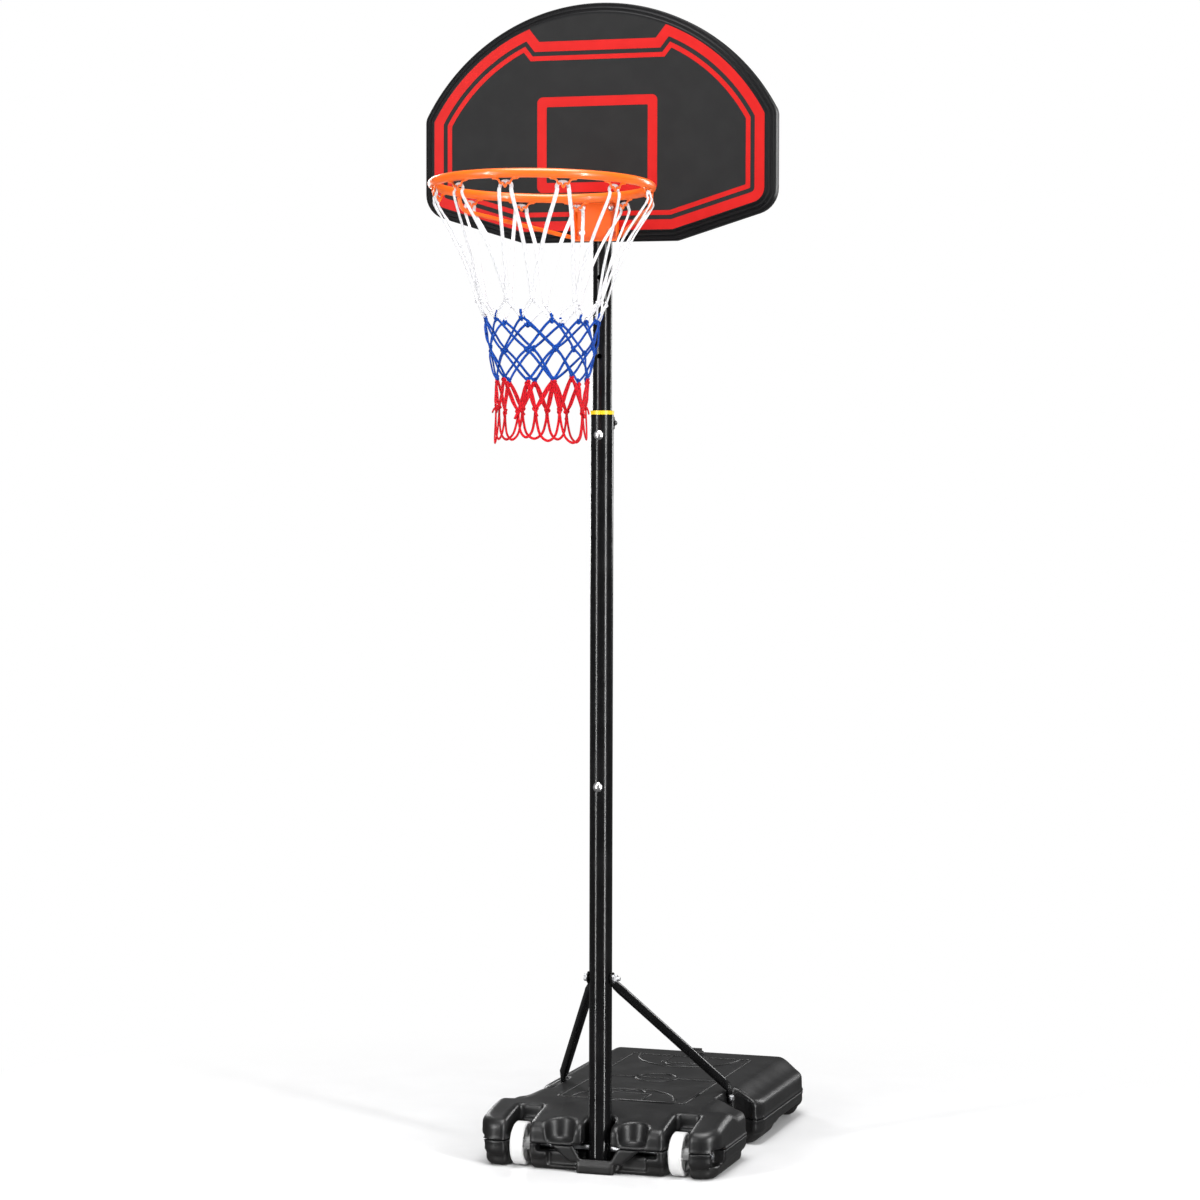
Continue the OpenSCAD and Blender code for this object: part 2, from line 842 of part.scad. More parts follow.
module rim_bolts() {
    color([0.88, 0.88, 0.88])
    for (x = [-fix_x, fix_x], z = fix_z) translate([x, 0, z]) {
        translate([0, face_y - plate_t - 0.1, 0]) face_front() dome_head(8, 4.2);
        rod_y(fix_r, face_y - plate_t - 0.1, -18);
    }
}

module rim_washers() {
    color([0.85, 0.85, 0.85])
    for (x = [-fix_x, fix_x], z = fix_z)
        translate([x, skin_back + plate_t + 0.05, z]) face_back() washer(6.2, fix_r, 1.4);
}

module rim_nuts() {
    color([0.85, 0.85, 0.85])
    for (x = [-fix_x, fix_x], z = fix_z)
        translate([x, skin_back + plate_t + 1.5, z]) face_back() hex_nut(10, 5, fix_r);
}

// Places a shape that is drawn around the ring's own centre and plane
module tilt_ring() {
    translate([0, -ring_reach, ring_z]) rotate([-ring_tilt, 0, 0]) children();
}

module rim_ring() {
    color([1, 0.45, 0.1])
    tilt_ring() rotate_extrude($fn = 96) translate([ring_r, 0]) circle(r = ring_rod_r, $fn = 32);
}

// Bent rod from the underside of the ring down to the bracket's foot, on the +X side
module brace() {
    a = 20;
    ring_low = ring_z - (ring_r * sin(a)) * sin(ring_tilt) - ring_rod_r;
    top = [ring_r * cos(a), -ring_reach + ring_r * sin(a), ring_low - 0.4 - brace_r];
    bend = [top[0] - 4, top[1] + 8, ring_z - 36];
    foot = [plate_hw + brace_r + 0.3, face_y - brace_r - 4, board_z + 8];
    rod_between(top, bend, brace_r);
    rod_between(bend, foot, brace_r);
    translate(bend) sphere(r = brace_r + 0.05, $fn = 32);
}

module brace_left() {
    color([1, 0.45, 0.1]) mirror([1, 0, 0]) brace();
}

module brace_right() {
    color([1, 0.45, 0.1]) brace();
}

// One wire hook below the ring's rod: two legs that meet in a V
module net_hook() {
    top_z = -ring_rod_r - hook_wire_r - 0.2;
    tip = [0, 0, top_z - hook_drop];
    for (s = [-1, 1])
        rod_between([0, s * hook_half, top_z], tip, hook_wire_r);
    translate(tip) sphere(r = hook_wire_r + 0.05, $fn = 32);
}

module net_hooks() {
    color([1, 0.45, 0.1])
    tilt_ring()
        for (i = [0 : hook_count - 1])
            rotate([0, 0, 360 * i / hook_count])
                translate([ring_r, 0, 0]) net_hook();
}

// The net's outer shape as a thin open funnel
module net() {
    outer = [for (p = net_profile) [p[1], -p[0]]];
    inner = [for (i = [len(net_profile) - 1 : -1 : 0])
             [net_profile[i][1] - net_wall, -net_profile[i][0]]];
    color([0.9, 0.9, 0.95])
    translate([0, -ring_reach, net_top])
        rotate_extrude() polygon(concat(outer, inner));
}

base_tank();
ballast_fill();
filler_cap();
filler_gasket();
wheel_axle();
axle_push_nuts();
wheel_left();
wheel_right();
pole_foot_plug();
pole_lower();
pole_middle();
joint_bolt();
joint_nut();
height_bolt();
guide_collar();
clamp_boss();
clamp_screw();
clamp_knob();
strut_left();
strut_right();
strut_bolt();
strut_washers();
strut_nut();
strut_foot_screws();
pole_upper();
slide_bush();
pole_top_cap();
backboard();
board_frame();
board_ribs();
pole_bracket();
cross_bolts();
cross_nuts();
pole_strap();
strap_screws();
rim_bracket();
rim_bolts();
rim_washers();
rim_nuts();
rim_ring();
brace_left();
brace_right();
net_hooks();
net();
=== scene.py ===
"""Looks of a portable basketball hoop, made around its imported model.

Sizes in the classes are in millimetres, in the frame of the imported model, and become metres
when a mesh is written. Each sub-assembly is a class that works its surfaces out as numpy
arrays and dresses them; each finish is a frozen dataclass that builds one material.
"""

import enum  # noqa: E402
import logging  # noqa: E402
import math  # noqa: E402
from dataclasses import dataclass, field  # noqa: E402

import bmesh  # noqa: E402
import bpy  # noqa: E402
import numpy as np  # noqa: E402
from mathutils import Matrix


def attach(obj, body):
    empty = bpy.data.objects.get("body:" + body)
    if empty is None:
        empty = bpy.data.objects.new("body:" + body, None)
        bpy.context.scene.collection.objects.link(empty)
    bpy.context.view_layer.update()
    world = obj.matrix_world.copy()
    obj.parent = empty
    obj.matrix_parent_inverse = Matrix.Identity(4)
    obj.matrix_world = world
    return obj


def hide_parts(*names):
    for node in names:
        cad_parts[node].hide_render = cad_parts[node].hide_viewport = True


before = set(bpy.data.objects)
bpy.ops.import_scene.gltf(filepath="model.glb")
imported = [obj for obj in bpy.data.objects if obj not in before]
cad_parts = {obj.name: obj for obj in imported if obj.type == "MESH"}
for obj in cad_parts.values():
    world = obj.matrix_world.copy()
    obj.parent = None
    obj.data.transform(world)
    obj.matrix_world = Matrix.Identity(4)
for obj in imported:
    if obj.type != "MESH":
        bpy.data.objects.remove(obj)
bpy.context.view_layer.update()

import openvdb  # noqa: E402
from mathutils import Matrix  # noqa: E402

MM = 0.001
LOG = logging.getLogger("hoop")
Socket = bpy.types.NodeSocket
Material = bpy.types.Material
Object = bpy.types.Object


class Body(enum.Enum):
    """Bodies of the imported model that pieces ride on."""

    BASE = "base"
    CAP = "cap"
    LEFT_WHEEL = "left_wheel"
    RIGHT_WHEEL = "right_wheel"
    KNOB = "knob"
    HEAD = "head"


# ---------- surfaces ----------


def unit(v: np.ndarray) -> np.ndarray:
    """Vectors divided by their own length.

    Args:
        v: vectors along the last axis.

    Returns:
        Vectors of length 1.
    """
    return v / np.maximum(np.linalg.norm(v, axis=-1, keepdims=True), 1e-9)


def grid_faces(
    rows: int, cols: int, wrap_rows: bool = False, wrap_cols: bool = False
) -> tuple[np.ndarray, np.ndarray]:
    """Faces of a grid of points numbered row by row.

    Args:
        rows: number of rows of points.
        cols: number of points in a row.
        wrap_rows: the last row joins the first.
        wrap_cols: the last point of a row joins its first.

    Returns:
        Corner numbers (n, 4), and each corner's unwrapped row and column (n, 4, 2).
    """
    i = np.arange(rows if wrap_rows else rows - 1)
    j = np.arange(cols if wrap_cols else cols - 1)
    ii, jj = (a.ravel() for a in np.meshgrid(i, j, indexing="ij"))
    steps = np.array([(0, 0), (1, 0), (1, 1), (0, 1)])
    place = np.stack([ii, jj], -1)[:, None, :] + steps[None]
    corners = (place[..., 0] % rows) * cols + place[..., 1] % cols
    return corners, place


@dataclass
class Surface:
    """One or many grids of points with the same layout, written as one mesh.

    points is (rows, cols, 3) or (copies, rows, cols, 3). Faces look outwards when the
    row direction crossed with the column direction points outwards.
    """

    points: np.ndarray
    wrap_rows: bool = False
    wrap_cols: bool = False
    capped: bool = False
    uv_size: tuple[float, float] = (1.0, 1.0)
    flip: bool = False

    def parts(self) -> tuple[np.ndarray, list[list[int]], np.ndarray]:
        """Points, faces and one UV pair per face corner.

        Returns:
            Points (n, 3), a list of faces, and UVs in the order of the face corners.
        """
        p = np.asarray(self.points, float)
        p = p[None] if p.ndim == 3 else p
        copies, rows, cols, _ = p.shape
        corners, place = grid_faces(rows, cols, self.wrap_rows, self.wrap_cols)
        scale = np.array(self.uv_size) / np.array([rows - 1, cols])
        uv = place * scale
        if self.flip:
            corners, uv = corners[:, ::-1], uv[:, ::-1]
        start = np.arange(copies)[:, None, None] * rows * cols
        faces = (start + corners[None]).reshape(-1, 4).tolist()
        uvs = [np.tile(uv[None], (copies, 1, 1, 1)).reshape(-1, 2)]
        points = [p.reshape(-1, 3)]
        if self.capped:
            for row, turn in ((0, 1), (rows - 1, -1)):
                base = copies * rows * cols + (0 if row == 0 else copies)
                points.append(p[:, row].mean(1))
                a = np.arange(cols)
                b = (a + 1) % cols
                tri = np.stack([a + row * cols, b + row * cols], -1)
                tri = tri[:, ::turn * (-1 if self.flip else 1)]
                tri = np.arange(copies)[:, None, None] * rows * cols + tri[None]
                hub = np.broadcast_to(
                    base + np.arange(copies)[:, None, None], (copies, cols, 1)
                )
                faces += np.concatenate([tri, hub], -1).reshape(-1, 3).tolist()
                end = np.array([0.0 if row == 0 else self.uv_size[0], 0.0])
                uvs.append(np.broadcast_to(end, (copies * cols * 3, 2)))
        return np.concatenate(points), faces, np.concatenate(uvs)


def sweep(
    path: np.ndarray,
    section: np.ndarray,
    up: np.ndarray | None = None,
    closed: bool = False,
) -> np.ndarray:
    """Carries a section along a path.

    At each point the section's first axis lies along the cross product of up and the
    path's direction, and its second axis along the direction crossed with the first.

    Args:
        path: (..., n, 3) points.
        section: (cols, 2), or (..., n, cols, 2) where it changes along the path.
        up: a direction never parallel to the path, or one for each point.
        closed: the path's end joins its start.

    Returns:
        Points (..., n, cols, 3).
    """
    if closed:
        along = np.roll(path, -1, -2) - np.roll(path, 1, -2)
    else:
        along = np.gradient(path, axis=-2)
    t = unit(along)
    ref = np.array([0.0, 0.0, 1.0]) if up is None else np.asarray(up, float)
    side = unit(np.cross(np.broadcast_to(ref, t.shape), t))
    rise = np.cross(t, side)
    s = np.asarray(section, float)
    return (
        path[..., None, :]
        + s[..., 0:1] * side[..., None, :]
        + s[..., 1:2] * rise[..., None, :]
    )


def oval(width: float, height: float, sides: int) -> np.ndarray:
    """An ellipse's points: (width cos a, height sin a) / 2 for equal steps of a.

    Args:
        width: the ellipse's width.
        height: its height.
        sides: how many points it has.

    Returns:
        The points, (sides, 2).
    """
    a = np.arange(sides) * 2 * math.pi / sides
    return np.stack([np.cos(a) * width / 2, np.sin(a) * height / 2], -1)


def smooth_path(knots: np.ndarray, count: int) -> np.ndarray:
    """Catmull-Rom curve through control points.

    Between two control points the place is the cubic that leaves and arrives along the
    chord of the neighbours on each side.

    Args:
        knots: (..., k, 3) control points.
        count: points in the result.

    Returns:
        (..., count, 3) points.
    """
    k = knots.shape[-2]
    first = 2 * knots[..., :1, :] - knots[..., 1:2, :]
    last = 2 * knots[..., -1:, :] - knots[..., -2:-1, :]
    p = np.concatenate([first, knots, last], -2)
    s = np.linspace(0, k - 1, count)
    i = np.minimum(s.astype(int), k - 2)
    u = (s - i)[:, None]
    a, b, c, d = (np.take(p, i + n, axis=-2) for n in range(4))
    return 0.5 * (
        2 * b
        + (c - a) * u
        + (2 * a - 5 * b + 4 * c - d) * u**2
        + (3 * b - a - 3 * c + d) * u**3
    )


def corner_path(points: np.ndarray, radius: float, count: int = 12) -> np.ndarray:
    """A path of straight runs whose corners are quadratic curves starting radius away.

    Args:
        points: corners of the straight runs, (k, 2) or (k, 3).
        radius: how far from a corner its curve starts.
        count: points on each curve.

    Returns:
        The path, (n, 2) or (n, 3).
    """
    out = [points[:1]]
    for a, b, c in zip(points[:-2], points[1:-1], points[2:]):
        p, q = b + unit(a - b) * radius, b + unit(c - b) * radius
        t = np.linspace(0, 1, count)[:, None]
        out.append((1 - t) ** 2 * p + 2 * t * (1 - t) * b + t**2 * q)
    out.append(points[-1:])
    return np.concatenate(out)


def write_mesh(name: str, surfaces: list[Surface], smooth: bool = True) -> Object:
    """Writes surfaces, in millimetres, as one mesh object at the origin.

    Args:
        name: the object's name.
        surfaces: surfaces whose points are in millimetres.
        smooth: shade the faces smoothly.

    Returns:
        The object, at the origin.
    """
    points, faces, uvs, start = [], [], [], 0
    for s in surfaces:
        p, f, uv = s.parts()
        points.append(p)
        faces += [[n + start for n in face] for face in f]
        uvs.append(uv)
        start += len(p)
    return from_arrays(name, np.concatenate(points), faces, np.concatenate(uvs), smooth)


def from_arrays(
    name: str,
    points: np.ndarray,
    faces: list[list[int]],
    uv: np.ndarray | None = None,
    smooth: bool = True,
) -> Object:
    """Makes a mesh object from points in millimetres, faces and UVs per face corner.

    Args:
        name: the object's name.
        points: (n, 3) in millimetres.
        faces: point numbers of each face, anticlockwise from outside.
        uv: one pair per face corner, or None.
        smooth: shade the faces smoothly.

    Returns:
        The object, at the origin.
    """
    mesh = bpy.data.meshes.new(name)
    mesh.from_pydata((points * MM).tolist(), [], faces)
    if uv is not None:
        layer = mesh.uv_layers.new(name="UVMap")
        layer.data.foreach_set("uv", np.asarray(uv, np.float32).ravel())
    mesh.polygons.foreach_set("use_smooth", np.full(len(faces), smooth))
    mesh.update()
    made = bpy.data.objects.new(name, mesh)
    bpy.context.scene.collection.objects.link(made)
    return made


def set_values(obj: Object, name: str, values: np.ndarray) -> None:
    """Stores one number per vertex for a material to read.

    Args:
        obj: the piece.
        name: the attribute's name.
        values: one number for each vertex.
    """
    layer = obj.data.attributes.new(name, "FLOAT", "POINT")
    layer.data.foreach_set("value", np.asarray(values, np.float32))


def place_piece(
    obj: Object,
    finish: Material,
    body: Body,
    stands_for: tuple[str, ...] = (),
) -> Object:
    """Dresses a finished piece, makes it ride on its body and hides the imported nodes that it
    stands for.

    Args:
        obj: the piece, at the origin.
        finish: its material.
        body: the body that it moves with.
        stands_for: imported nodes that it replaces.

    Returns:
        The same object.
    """
    obj.data.materials.clear()
    obj.data.materials.append(finish)
    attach(obj, body.value)
    here = [n for n in stands_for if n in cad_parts]
    if here:
        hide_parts(*here)
    LOG.info("%s: %d faces, %s", obj.name, len(obj.data.polygons), finish.name)
    return obj


def dress_node(node: str, finish: Material) -> None:
    """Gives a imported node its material; its shape and shading stay.

    Args:
        node: the node's name.
        finish: its material.
    """
    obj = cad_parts[node]
    obj.data.materials.clear()
    obj.data.materials.append(finish)
    LOG.info("%s: packed node, %s", node, finish.name)


def soften_node(
    node: str, finish: Material, body: Body, width: float
) -> Object:
    """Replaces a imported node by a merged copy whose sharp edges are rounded.

    The copy's doubles are merged, flat areas are joined into single faces, and a Bevel
    modifier of the given width rounds every edge sharper than 30 degrees.

    Args:
        node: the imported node's name.
        finish: the copy's material.
        body: the body that it moves with.
        width: the bevel's width in millimetres.

    Returns:
        The copy, which stands for the node.
    """
    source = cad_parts[node]
    mesh = source.data.copy()
    bm = bmesh.new()
    bm.from_mesh(mesh)
    bmesh.ops.remove_doubles(bm, verts=bm.verts, dist=1e-6)
    bmesh.ops.dissolve_limit(
        bm, angle_limit=math.radians(1), verts=bm.verts, edges=bm.edges
    )
    bm.to_mesh(mesh)
    bm.free()
    mesh.polygons.foreach_set("use_smooth", np.full(len(mesh.polygons), False))
    made = bpy.data.objects.new(node + "_soft", mesh)
    bpy.context.scene.collection.objects.link(made)
    bevel = made.modifiers.new("edges", "BEVEL")
    bevel.width = width * MM
    bevel.segments = 3
    bevel.limit_method = "ANGLE"
    bevel.angle_limit = math.radians(30)
    return place_piece(made, finish, body, (node,))


# ---------- finishes ----------


class Bench:
    """A material's node tree with short ways to add and join nodes."""

    def __init__(self, name: str) -> None:
        """Starts an empty tree with a Principled shader and an output.

        Args:
            name: the finish's name, without its ending.
        """
        self.material = bpy.data.materials.new(name + "_finish")
        self.material.use_nodes = True
        self.tree = self.material.node_tree
        self.tree.nodes.clear()
        self.shader = self.add("ShaderNodeBsdfPrincipled")
        out = self.add("ShaderNodeOutputMaterial")
        self.tree.links.new(self.shader.outputs[0], out.inputs[0])

    def add(self, kind: str, **values: object) -> bpy.types.Node:
        """Adds a node and sets its own properties.

        Args:
            kind: the node's type.
            **values: its properties by name.

        Returns:
            The node.
        """
        node = self.tree.nodes.new(kind)
        for key, value in values.items():
            setattr(node, key, value)
        return node

    def feed(self, node: bpy.types.Node, key: str | int, value: object) -> None:
        """Links a socket or sets a number or colour on a node's input.

        Args:
            node: the node.
            key: the input's name or number.
            value: a socket to link or a value to set.
        """
        if isinstance(value, bpy.types.NodeSocket):
            self.tree.links.new(value, node.inputs[key])
        else:
            node.inputs[key].default_value = value

    def place(self, source: str = "Object", scale: tuple = (1, 1, 1)) -> Socket:
        """Coordinates of one kind, scaled.

        Args:
            source: Object or UV.
            scale: a factor for each axis.

        Returns:
            The coordinates.
        """
        coords = self.add("ShaderNodeTexCoord")
        mapping = self.add("ShaderNodeMapping")
        self.feed(mapping, "Vector", coords.outputs[source])
        self.feed(mapping, "Scale", scale)
        return mapping.outputs[0]

    def noise(
        self, at: Socket, size: float, detail: float = 3.0, rough: float = 0.5
    ) -> Socket:
        """Cloud noise with features about size millimetres across.

        Args:
            at: coordinates.
            size: the features' size in millimetres.
            detail: how many finer layers are added.
            rough: how strong the finer layers are.

        Returns:
            The noise, 0 to 1.
        """
        node = self.add("ShaderNodeTexNoise")
        self.feed(node, "Vector", at)
        self.feed(node, "Scale", 1.0 / (size * MM))
        self.feed(node, "Detail", detail)
        self.feed(node, "Roughness", rough)
        return node.outputs[0]

    def cells(self, at: Socket, size: float, feature: str = "F1") -> Socket:
        """Distance to scattered cell centres about size millimetres apart.

        Args:
            at: coordinates.
            size: the cells' size in millimetres.
            feature: which of the cell distances.

        Returns:
            The distance.
        """
        node = self.add("ShaderNodeTexVoronoi", feature=feature)
        self.feed(node, "Vector", at)
        self.feed(node, "Scale", 1.0 / (size * MM))
        return node.outputs["Distance"]

    def math(self, how: str, a: object, b: object = 0.0, c: object = 0.0) -> Socket:
        """A Math node.

        Args:
            how: the node's operation.
            a: first number or socket.
            b: second.
            c: third.

        Returns:
            The result.
        """
        node = self.add("ShaderNodeMath", operation=how)
        for n, value in enumerate((a, b, c)):
            self.feed(node, n, value)
        return node.outputs[0]

    def band(self, value: Socket, low: float, high: float, a: float, b: float) -> Socket:
        """Maps low..high smoothly to a..b and holds the ends.

        Args:
            value: what is mapped.
            low: where the change starts.
            high: where the change ends.
            a: the result at low.
            b: the result at high.

        Returns:
            The mapped value.
        """
        node = self.add("ShaderNodeMapRange", interpolation_type="SMOOTHSTEP")
        for key, v in (
            ("Value", value),
            ("From Min", low),
            ("From Max", high),
            ("To Min", a),
            ("To Max", b),
        ):
            self.feed(node, key, v)
        return node.outputs[0]

    def mix(self, share: object, a: object, b: object) -> Socket:
        """Mixes two colours.

        Args:
            share: 0 gives a and 1 gives b.
            a: a colour or socket.
            b: a colour or socket.

        Returns:
            The mixed colour.
        """
        node = self.add("ShaderNodeMix", data_type="RGBA")
        self.feed(node, 0, share)
        for key, value in ((6, a), (7, b)):
            if isinstance(value, tuple) and len(value) == 3:
                value = (*value, 1.0)
            self.feed(node, key, value)
        return node.outputs[2]

    def bump(
        self, height: Socket, depth: float, strength: float = 1.0, base: object = None
    ) -> Socket:
        """Bump of a height map whose full step is depth millimetres.

        Args:
            height: the height map.
            depth: what a step of 1 in it stands for, in millimetres.
            strength: how much of it shows.
            base: a normal that it starts from.

        Returns:
            The new normal.
        """
        node = self.add("ShaderNodeBump")
        self.feed(node, "Height", height)
        self.feed(node, "Distance", depth * MM)
        self.feed(node, "Strength", strength)
        if base is not None:
            self.feed(node, "Normal", base)
        return node.outputs[0]

    def finish(self, **inputs: object) -> Material:
        """Sets the shader's inputs by name, with _ for a space, and returns the material.

        Args:
            **inputs: values by the input's name.

        Returns:
            The material.
        """
        for key, value in inputs.items():
            name = key.replace("_", " ")
            if name == "Base Color" and isinstance(value, tuple):
                value = (*value, 1.0)
            self.feed(self.shader, name, value)
        return self.material


@dataclass(frozen=True)
class MouldedPlastic:
    """Moulded plastic with a pebbled grain, cloudy tone, rubbed spots and dust."""

    name: str
    colour: tuple[float, float, float]
    rubbed: tuple[float, float, float]
    roughness: float
    grain: float
    depth: float
    dust: float = 0.0
    specular: float = 0.5

    def build(self) -> Material:
        """Grain is cell distance plus fine noise; tone and roughness follow slow noise.

        Returns:
            The material.
        """
        b = Bench(self.name)
        at = b.place()
        slow = b.noise(at, 60, 4)
        fine = b.noise(at, self.grain * 0.8, 2)
        cells = b.cells(at, self.grain, "SMOOTH_F1")
        scuff = b.band(b.noise(at, 9, 6, 0.65), 0.6, 0.72, 0, 1)
        tone = b.mix(b.band(slow, 0.3, 0.7, 0, 0.5), self.colour, self.rubbed)
        tone = b.mix(b.math("MULTIPLY", scuff, 0.35), tone, self.rubbed)
        if self.dust:
            split = b.add("ShaderNodeSeparateXYZ")
            b.feed(split, 0, at)
            low = b.band(split.outputs[2], 0.0, 0.05, 1, 0)
            share = b.math("MULTIPLY", b.math("MULTIPLY", low, fine), self.dust)
            tone = b.mix(share, tone, (0.16, 0.14, 0.12))
        height = b.math("ADD", cells, b.math("MULTIPLY", fine, 0.6))
        rough = b.band(slow, 0.25, 0.75, self.roughness - 0.05, self.roughness + 0.06)
        rough = b.math("ADD", rough, b.math("MULTIPLY", scuff, 0.08))
        return b.finish(
            Base_Color=tone,
            Roughness=rough,
            Normal=b.bump(height, self.depth, 0.6),
            Specular_IOR_Level=self.specular,
        )


@dataclass(frozen=True)
class BoardPlastic:
    """Board plastic: a matt woven-look grain on the field and a glossier border.

    The piece's border attribute is 1 on the stepped border and 0 on the field.
    """

    name: str = "board_plastic"
    field_colour: tuple[float, float, float] = (0.012, 0.0122, 0.0125)
    border_colour: tuple[float, float, float] = (0.006, 0.006, 0.0065)

    def build(self) -> Material:
        """Two crossed waves give the weave; the border attribute fades it out.

        Returns:
            The material.
        """
        b = Bench(self.name)
        at = b.place()
        zone = b.add("ShaderNodeAttribute", attribute_name="border").outputs["Fac"]
        warp = b.add("ShaderNodeTexWave", bands_direction="X")
        weft = b.add("ShaderNodeTexWave", bands_direction="Z")
        for wave in (warp, weft):
            b.feed(wave, "Vector", at)
            b.feed(wave, "Scale", 1 / (2 * math.pi * 1.4 * MM) * 2)
            b.feed(wave, "Distortion", 1.2)
            b.feed(wave, "Detail", 1.0)
        weave = b.math("MULTIPLY", warp.outputs["Fac"], weft.outputs["Fac"])
        fine = b.noise(at, 0.9, 3)
        slow = b.noise(at, 45, 4)
        grain = b.math("ADD", b.math("MULTIPLY", weave, 0.5), fine)
        tone = b.mix(
            b.band(slow, 0.35, 0.7, 0, 0.6), self.field_colour, (0.016, 0.0162, 0.0165)
        )
        tone = b.mix(b.math("MULTIPLY", grain, 0.25), tone, (0.03, 0.03, 0.03))
        tone = b.mix(zone, tone, self.border_colour)
        rough = b.math("ADD", b.math("MULTIPLY", zone, -0.28), 0.62)
        rough = b.math("ADD", rough, b.math("MULTIPLY", slow, 0.08))
        depth = b.math("MULTIPLY", grain, b.math("SUBTRACT", 1.0, b.math("MULTIPLY", zone, 0.85)))
        return b.finish(
            Base_Color=tone,
            Roughness=rough,
            Normal=b.bump(depth, 0.12, 0.5),
            Specular_IOR_Level=0.10,
        )


@dataclass(frozen=True)
class PrintedInk:
    """Screen-printed ink over the board's grain, with pinholes and faint wear."""

    name: str
    colour: tuple[float, float, float]
    thin: tuple[float, float, float]

    def build(self) -> Material:
        """Slow noise thins the colour and fine noise gives pinholes and grain.

        Returns:
            The material.
        """
        b = Bench(self.name)
        at = b.place()
        fine = b.noise(at, 0.9, 3)
        pin = b.band(b.noise(at, 2.5, 5, 0.7), 0.68, 0.74, 0, 0.5)
        tone = b.mix(b.band(b.noise(at, 30, 3), 0.3, 0.7, 0, 0.5), self.colour, self.thin)
        tone = b.mix(pin, tone, (0.2, 0.02, 0.02))
        return b.finish(
            Base_Color=tone,
            Roughness=b.band(fine, 0.3, 0.7, 0.42, 0.55),
            Normal=b.bump(fine, 0.08, 0.5),
            Specular_IOR_Level=0.12,
        )


@dataclass(frozen=True)
class PowderCoat:
    """Baked powder coat: orange peel, a clear skin, and dulled rubbed patches."""

    name: str
    colour: tuple[float, float, float]
    shade: tuple[float, float, float]
    roughness: float
    peel: float = 0.05
    coat: float = 0.5
    specular: float = 0.5

    def build(self) -> Material:
        """Peel is 2.4 mm noise, tone follows slow noise, fine streaks raise roughness.

        Returns:
            The material.
        """
        b = Bench(self.name)
        at = b.place()
        peel = b.noise(at, 2.4, 2, 0.4)
        slow = b.noise(at, 50, 4)
        streak = b.noise(b.place(scale=(1.0, 1.0, 0.06)), 1.2, 3)
        tone = b.mix(b.band(slow, 0.35, 0.75, 0, 0.7), self.colour, self.shade)
        rough = b.band(slow, 0.3, 0.8, self.roughness, self.roughness + 0.08)
        rough = b.math("ADD", rough, b.band(streak, 0.62, 0.75, 0, 0.10))
        return b.finish(
            Base_Color=tone,
            Roughness=rough,
            Normal=b.bump(peel, self.peel, 0.5),
            Specular_IOR_Level=self.specular,
            Coat_Weight=self.coat,
            Coat_Roughness=0.1,
        )


@dataclass(frozen=True)
class PlatedSteel:
    """Plated steel: bright chrome or duller zinc, with turned marks and bloom."""

    name: str
    colour: tuple[float, float, float]
    dull: tuple[float, float, float]
    roughness: float

    def build(self) -> Material:
        """Fine stretched noise gives marks; slow noise dulls the tone in patches.

        Returns:
            The material.
        """
        b = Bench(self.name)
        at = b.place()
        marks = b.noise(b.place(scale=(1.0, 0.15, 1.0)), 0.5, 3)
        bloom = b.noise(at, 4.0, 4, 0.6)
        tone = b.mix(b.band(bloom, 0.45, 0.7, 0, 1), self.colour, self.dull)
        rough = b.band(bloom, 0.35, 0.75, self.roughness, self.roughness + 0.15)
        return b.finish(
            Base_Color=tone,
            Metallic=1.0,
            Roughness=rough,
            Normal=b.bump(marks, 0.03, 0.5),
        )


@dataclass(frozen=True)
class BraidedCord:
    """Braided cord: diagonal strands run both ways around the cord's own UV map, with painted shade
    in the grooves between them.
    """

    name: str
    colour: tuple[float, float, float]
    groove_shade_and_dull_tone: tuple[float, float, float]
    pitch: float = 9.0

    def build(self) -> Material:
        """Strand height is the larger of two diagonal sine waves over the UV map. Where it is low,
        the grooves take a darker colour as painted shade, and slow noise dulls the tone in random
        patches towards the same colour.

        Returns:
            The material.
        """
        b = Bench(self.name)
        split = b.add("ShaderNodeSeparateXYZ")
        b.feed(split, 0, b.place("UV"))
        along = b.math("MULTIPLY", split.outputs[0], 2 * math.pi / self.pitch)
        around = b.math("MULTIPLY", split.outputs[1], 2 * math.pi * 3)
        one = b.math("SINE", b.math("ADD", along, around))
        two = b.math("SINE", b.math("SUBTRACT", along, around))
        strand = b.math("MAXIMUM", one, two)
        fuzz = b.noise(b.place(), 0.6, 4, 0.7)
        height = b.math("ADD", strand, b.math("MULTIPLY", fuzz, 0.7))
        # painted shade: the grooves between strands are coloured darker than the strands
        tone = b.mix(b.band(strand, -0.2, 0.7, 0, 1), self.groove_shade_and_dull_tone, self.colour)
        slow = b.band(b.noise(b.place(), 25, 3), 0.35, 0.7, 0, 0.35)
        # random darker patches, which use the painted groove shade colour
        tone = b.mix(slow, tone, self.groove_shade_and_dull_tone)
        return b.finish(
            Base_Color=tone,
            Roughness=b.band(fuzz, 0.3, 0.7, 0.72, 0.88),
            Normal=b.bump(height, 0.2, 0.6),
            Sheen_Weight=0.05,
            Sheen_Roughness=0.5,
            Specular_IOR_Level=0.15,
        )


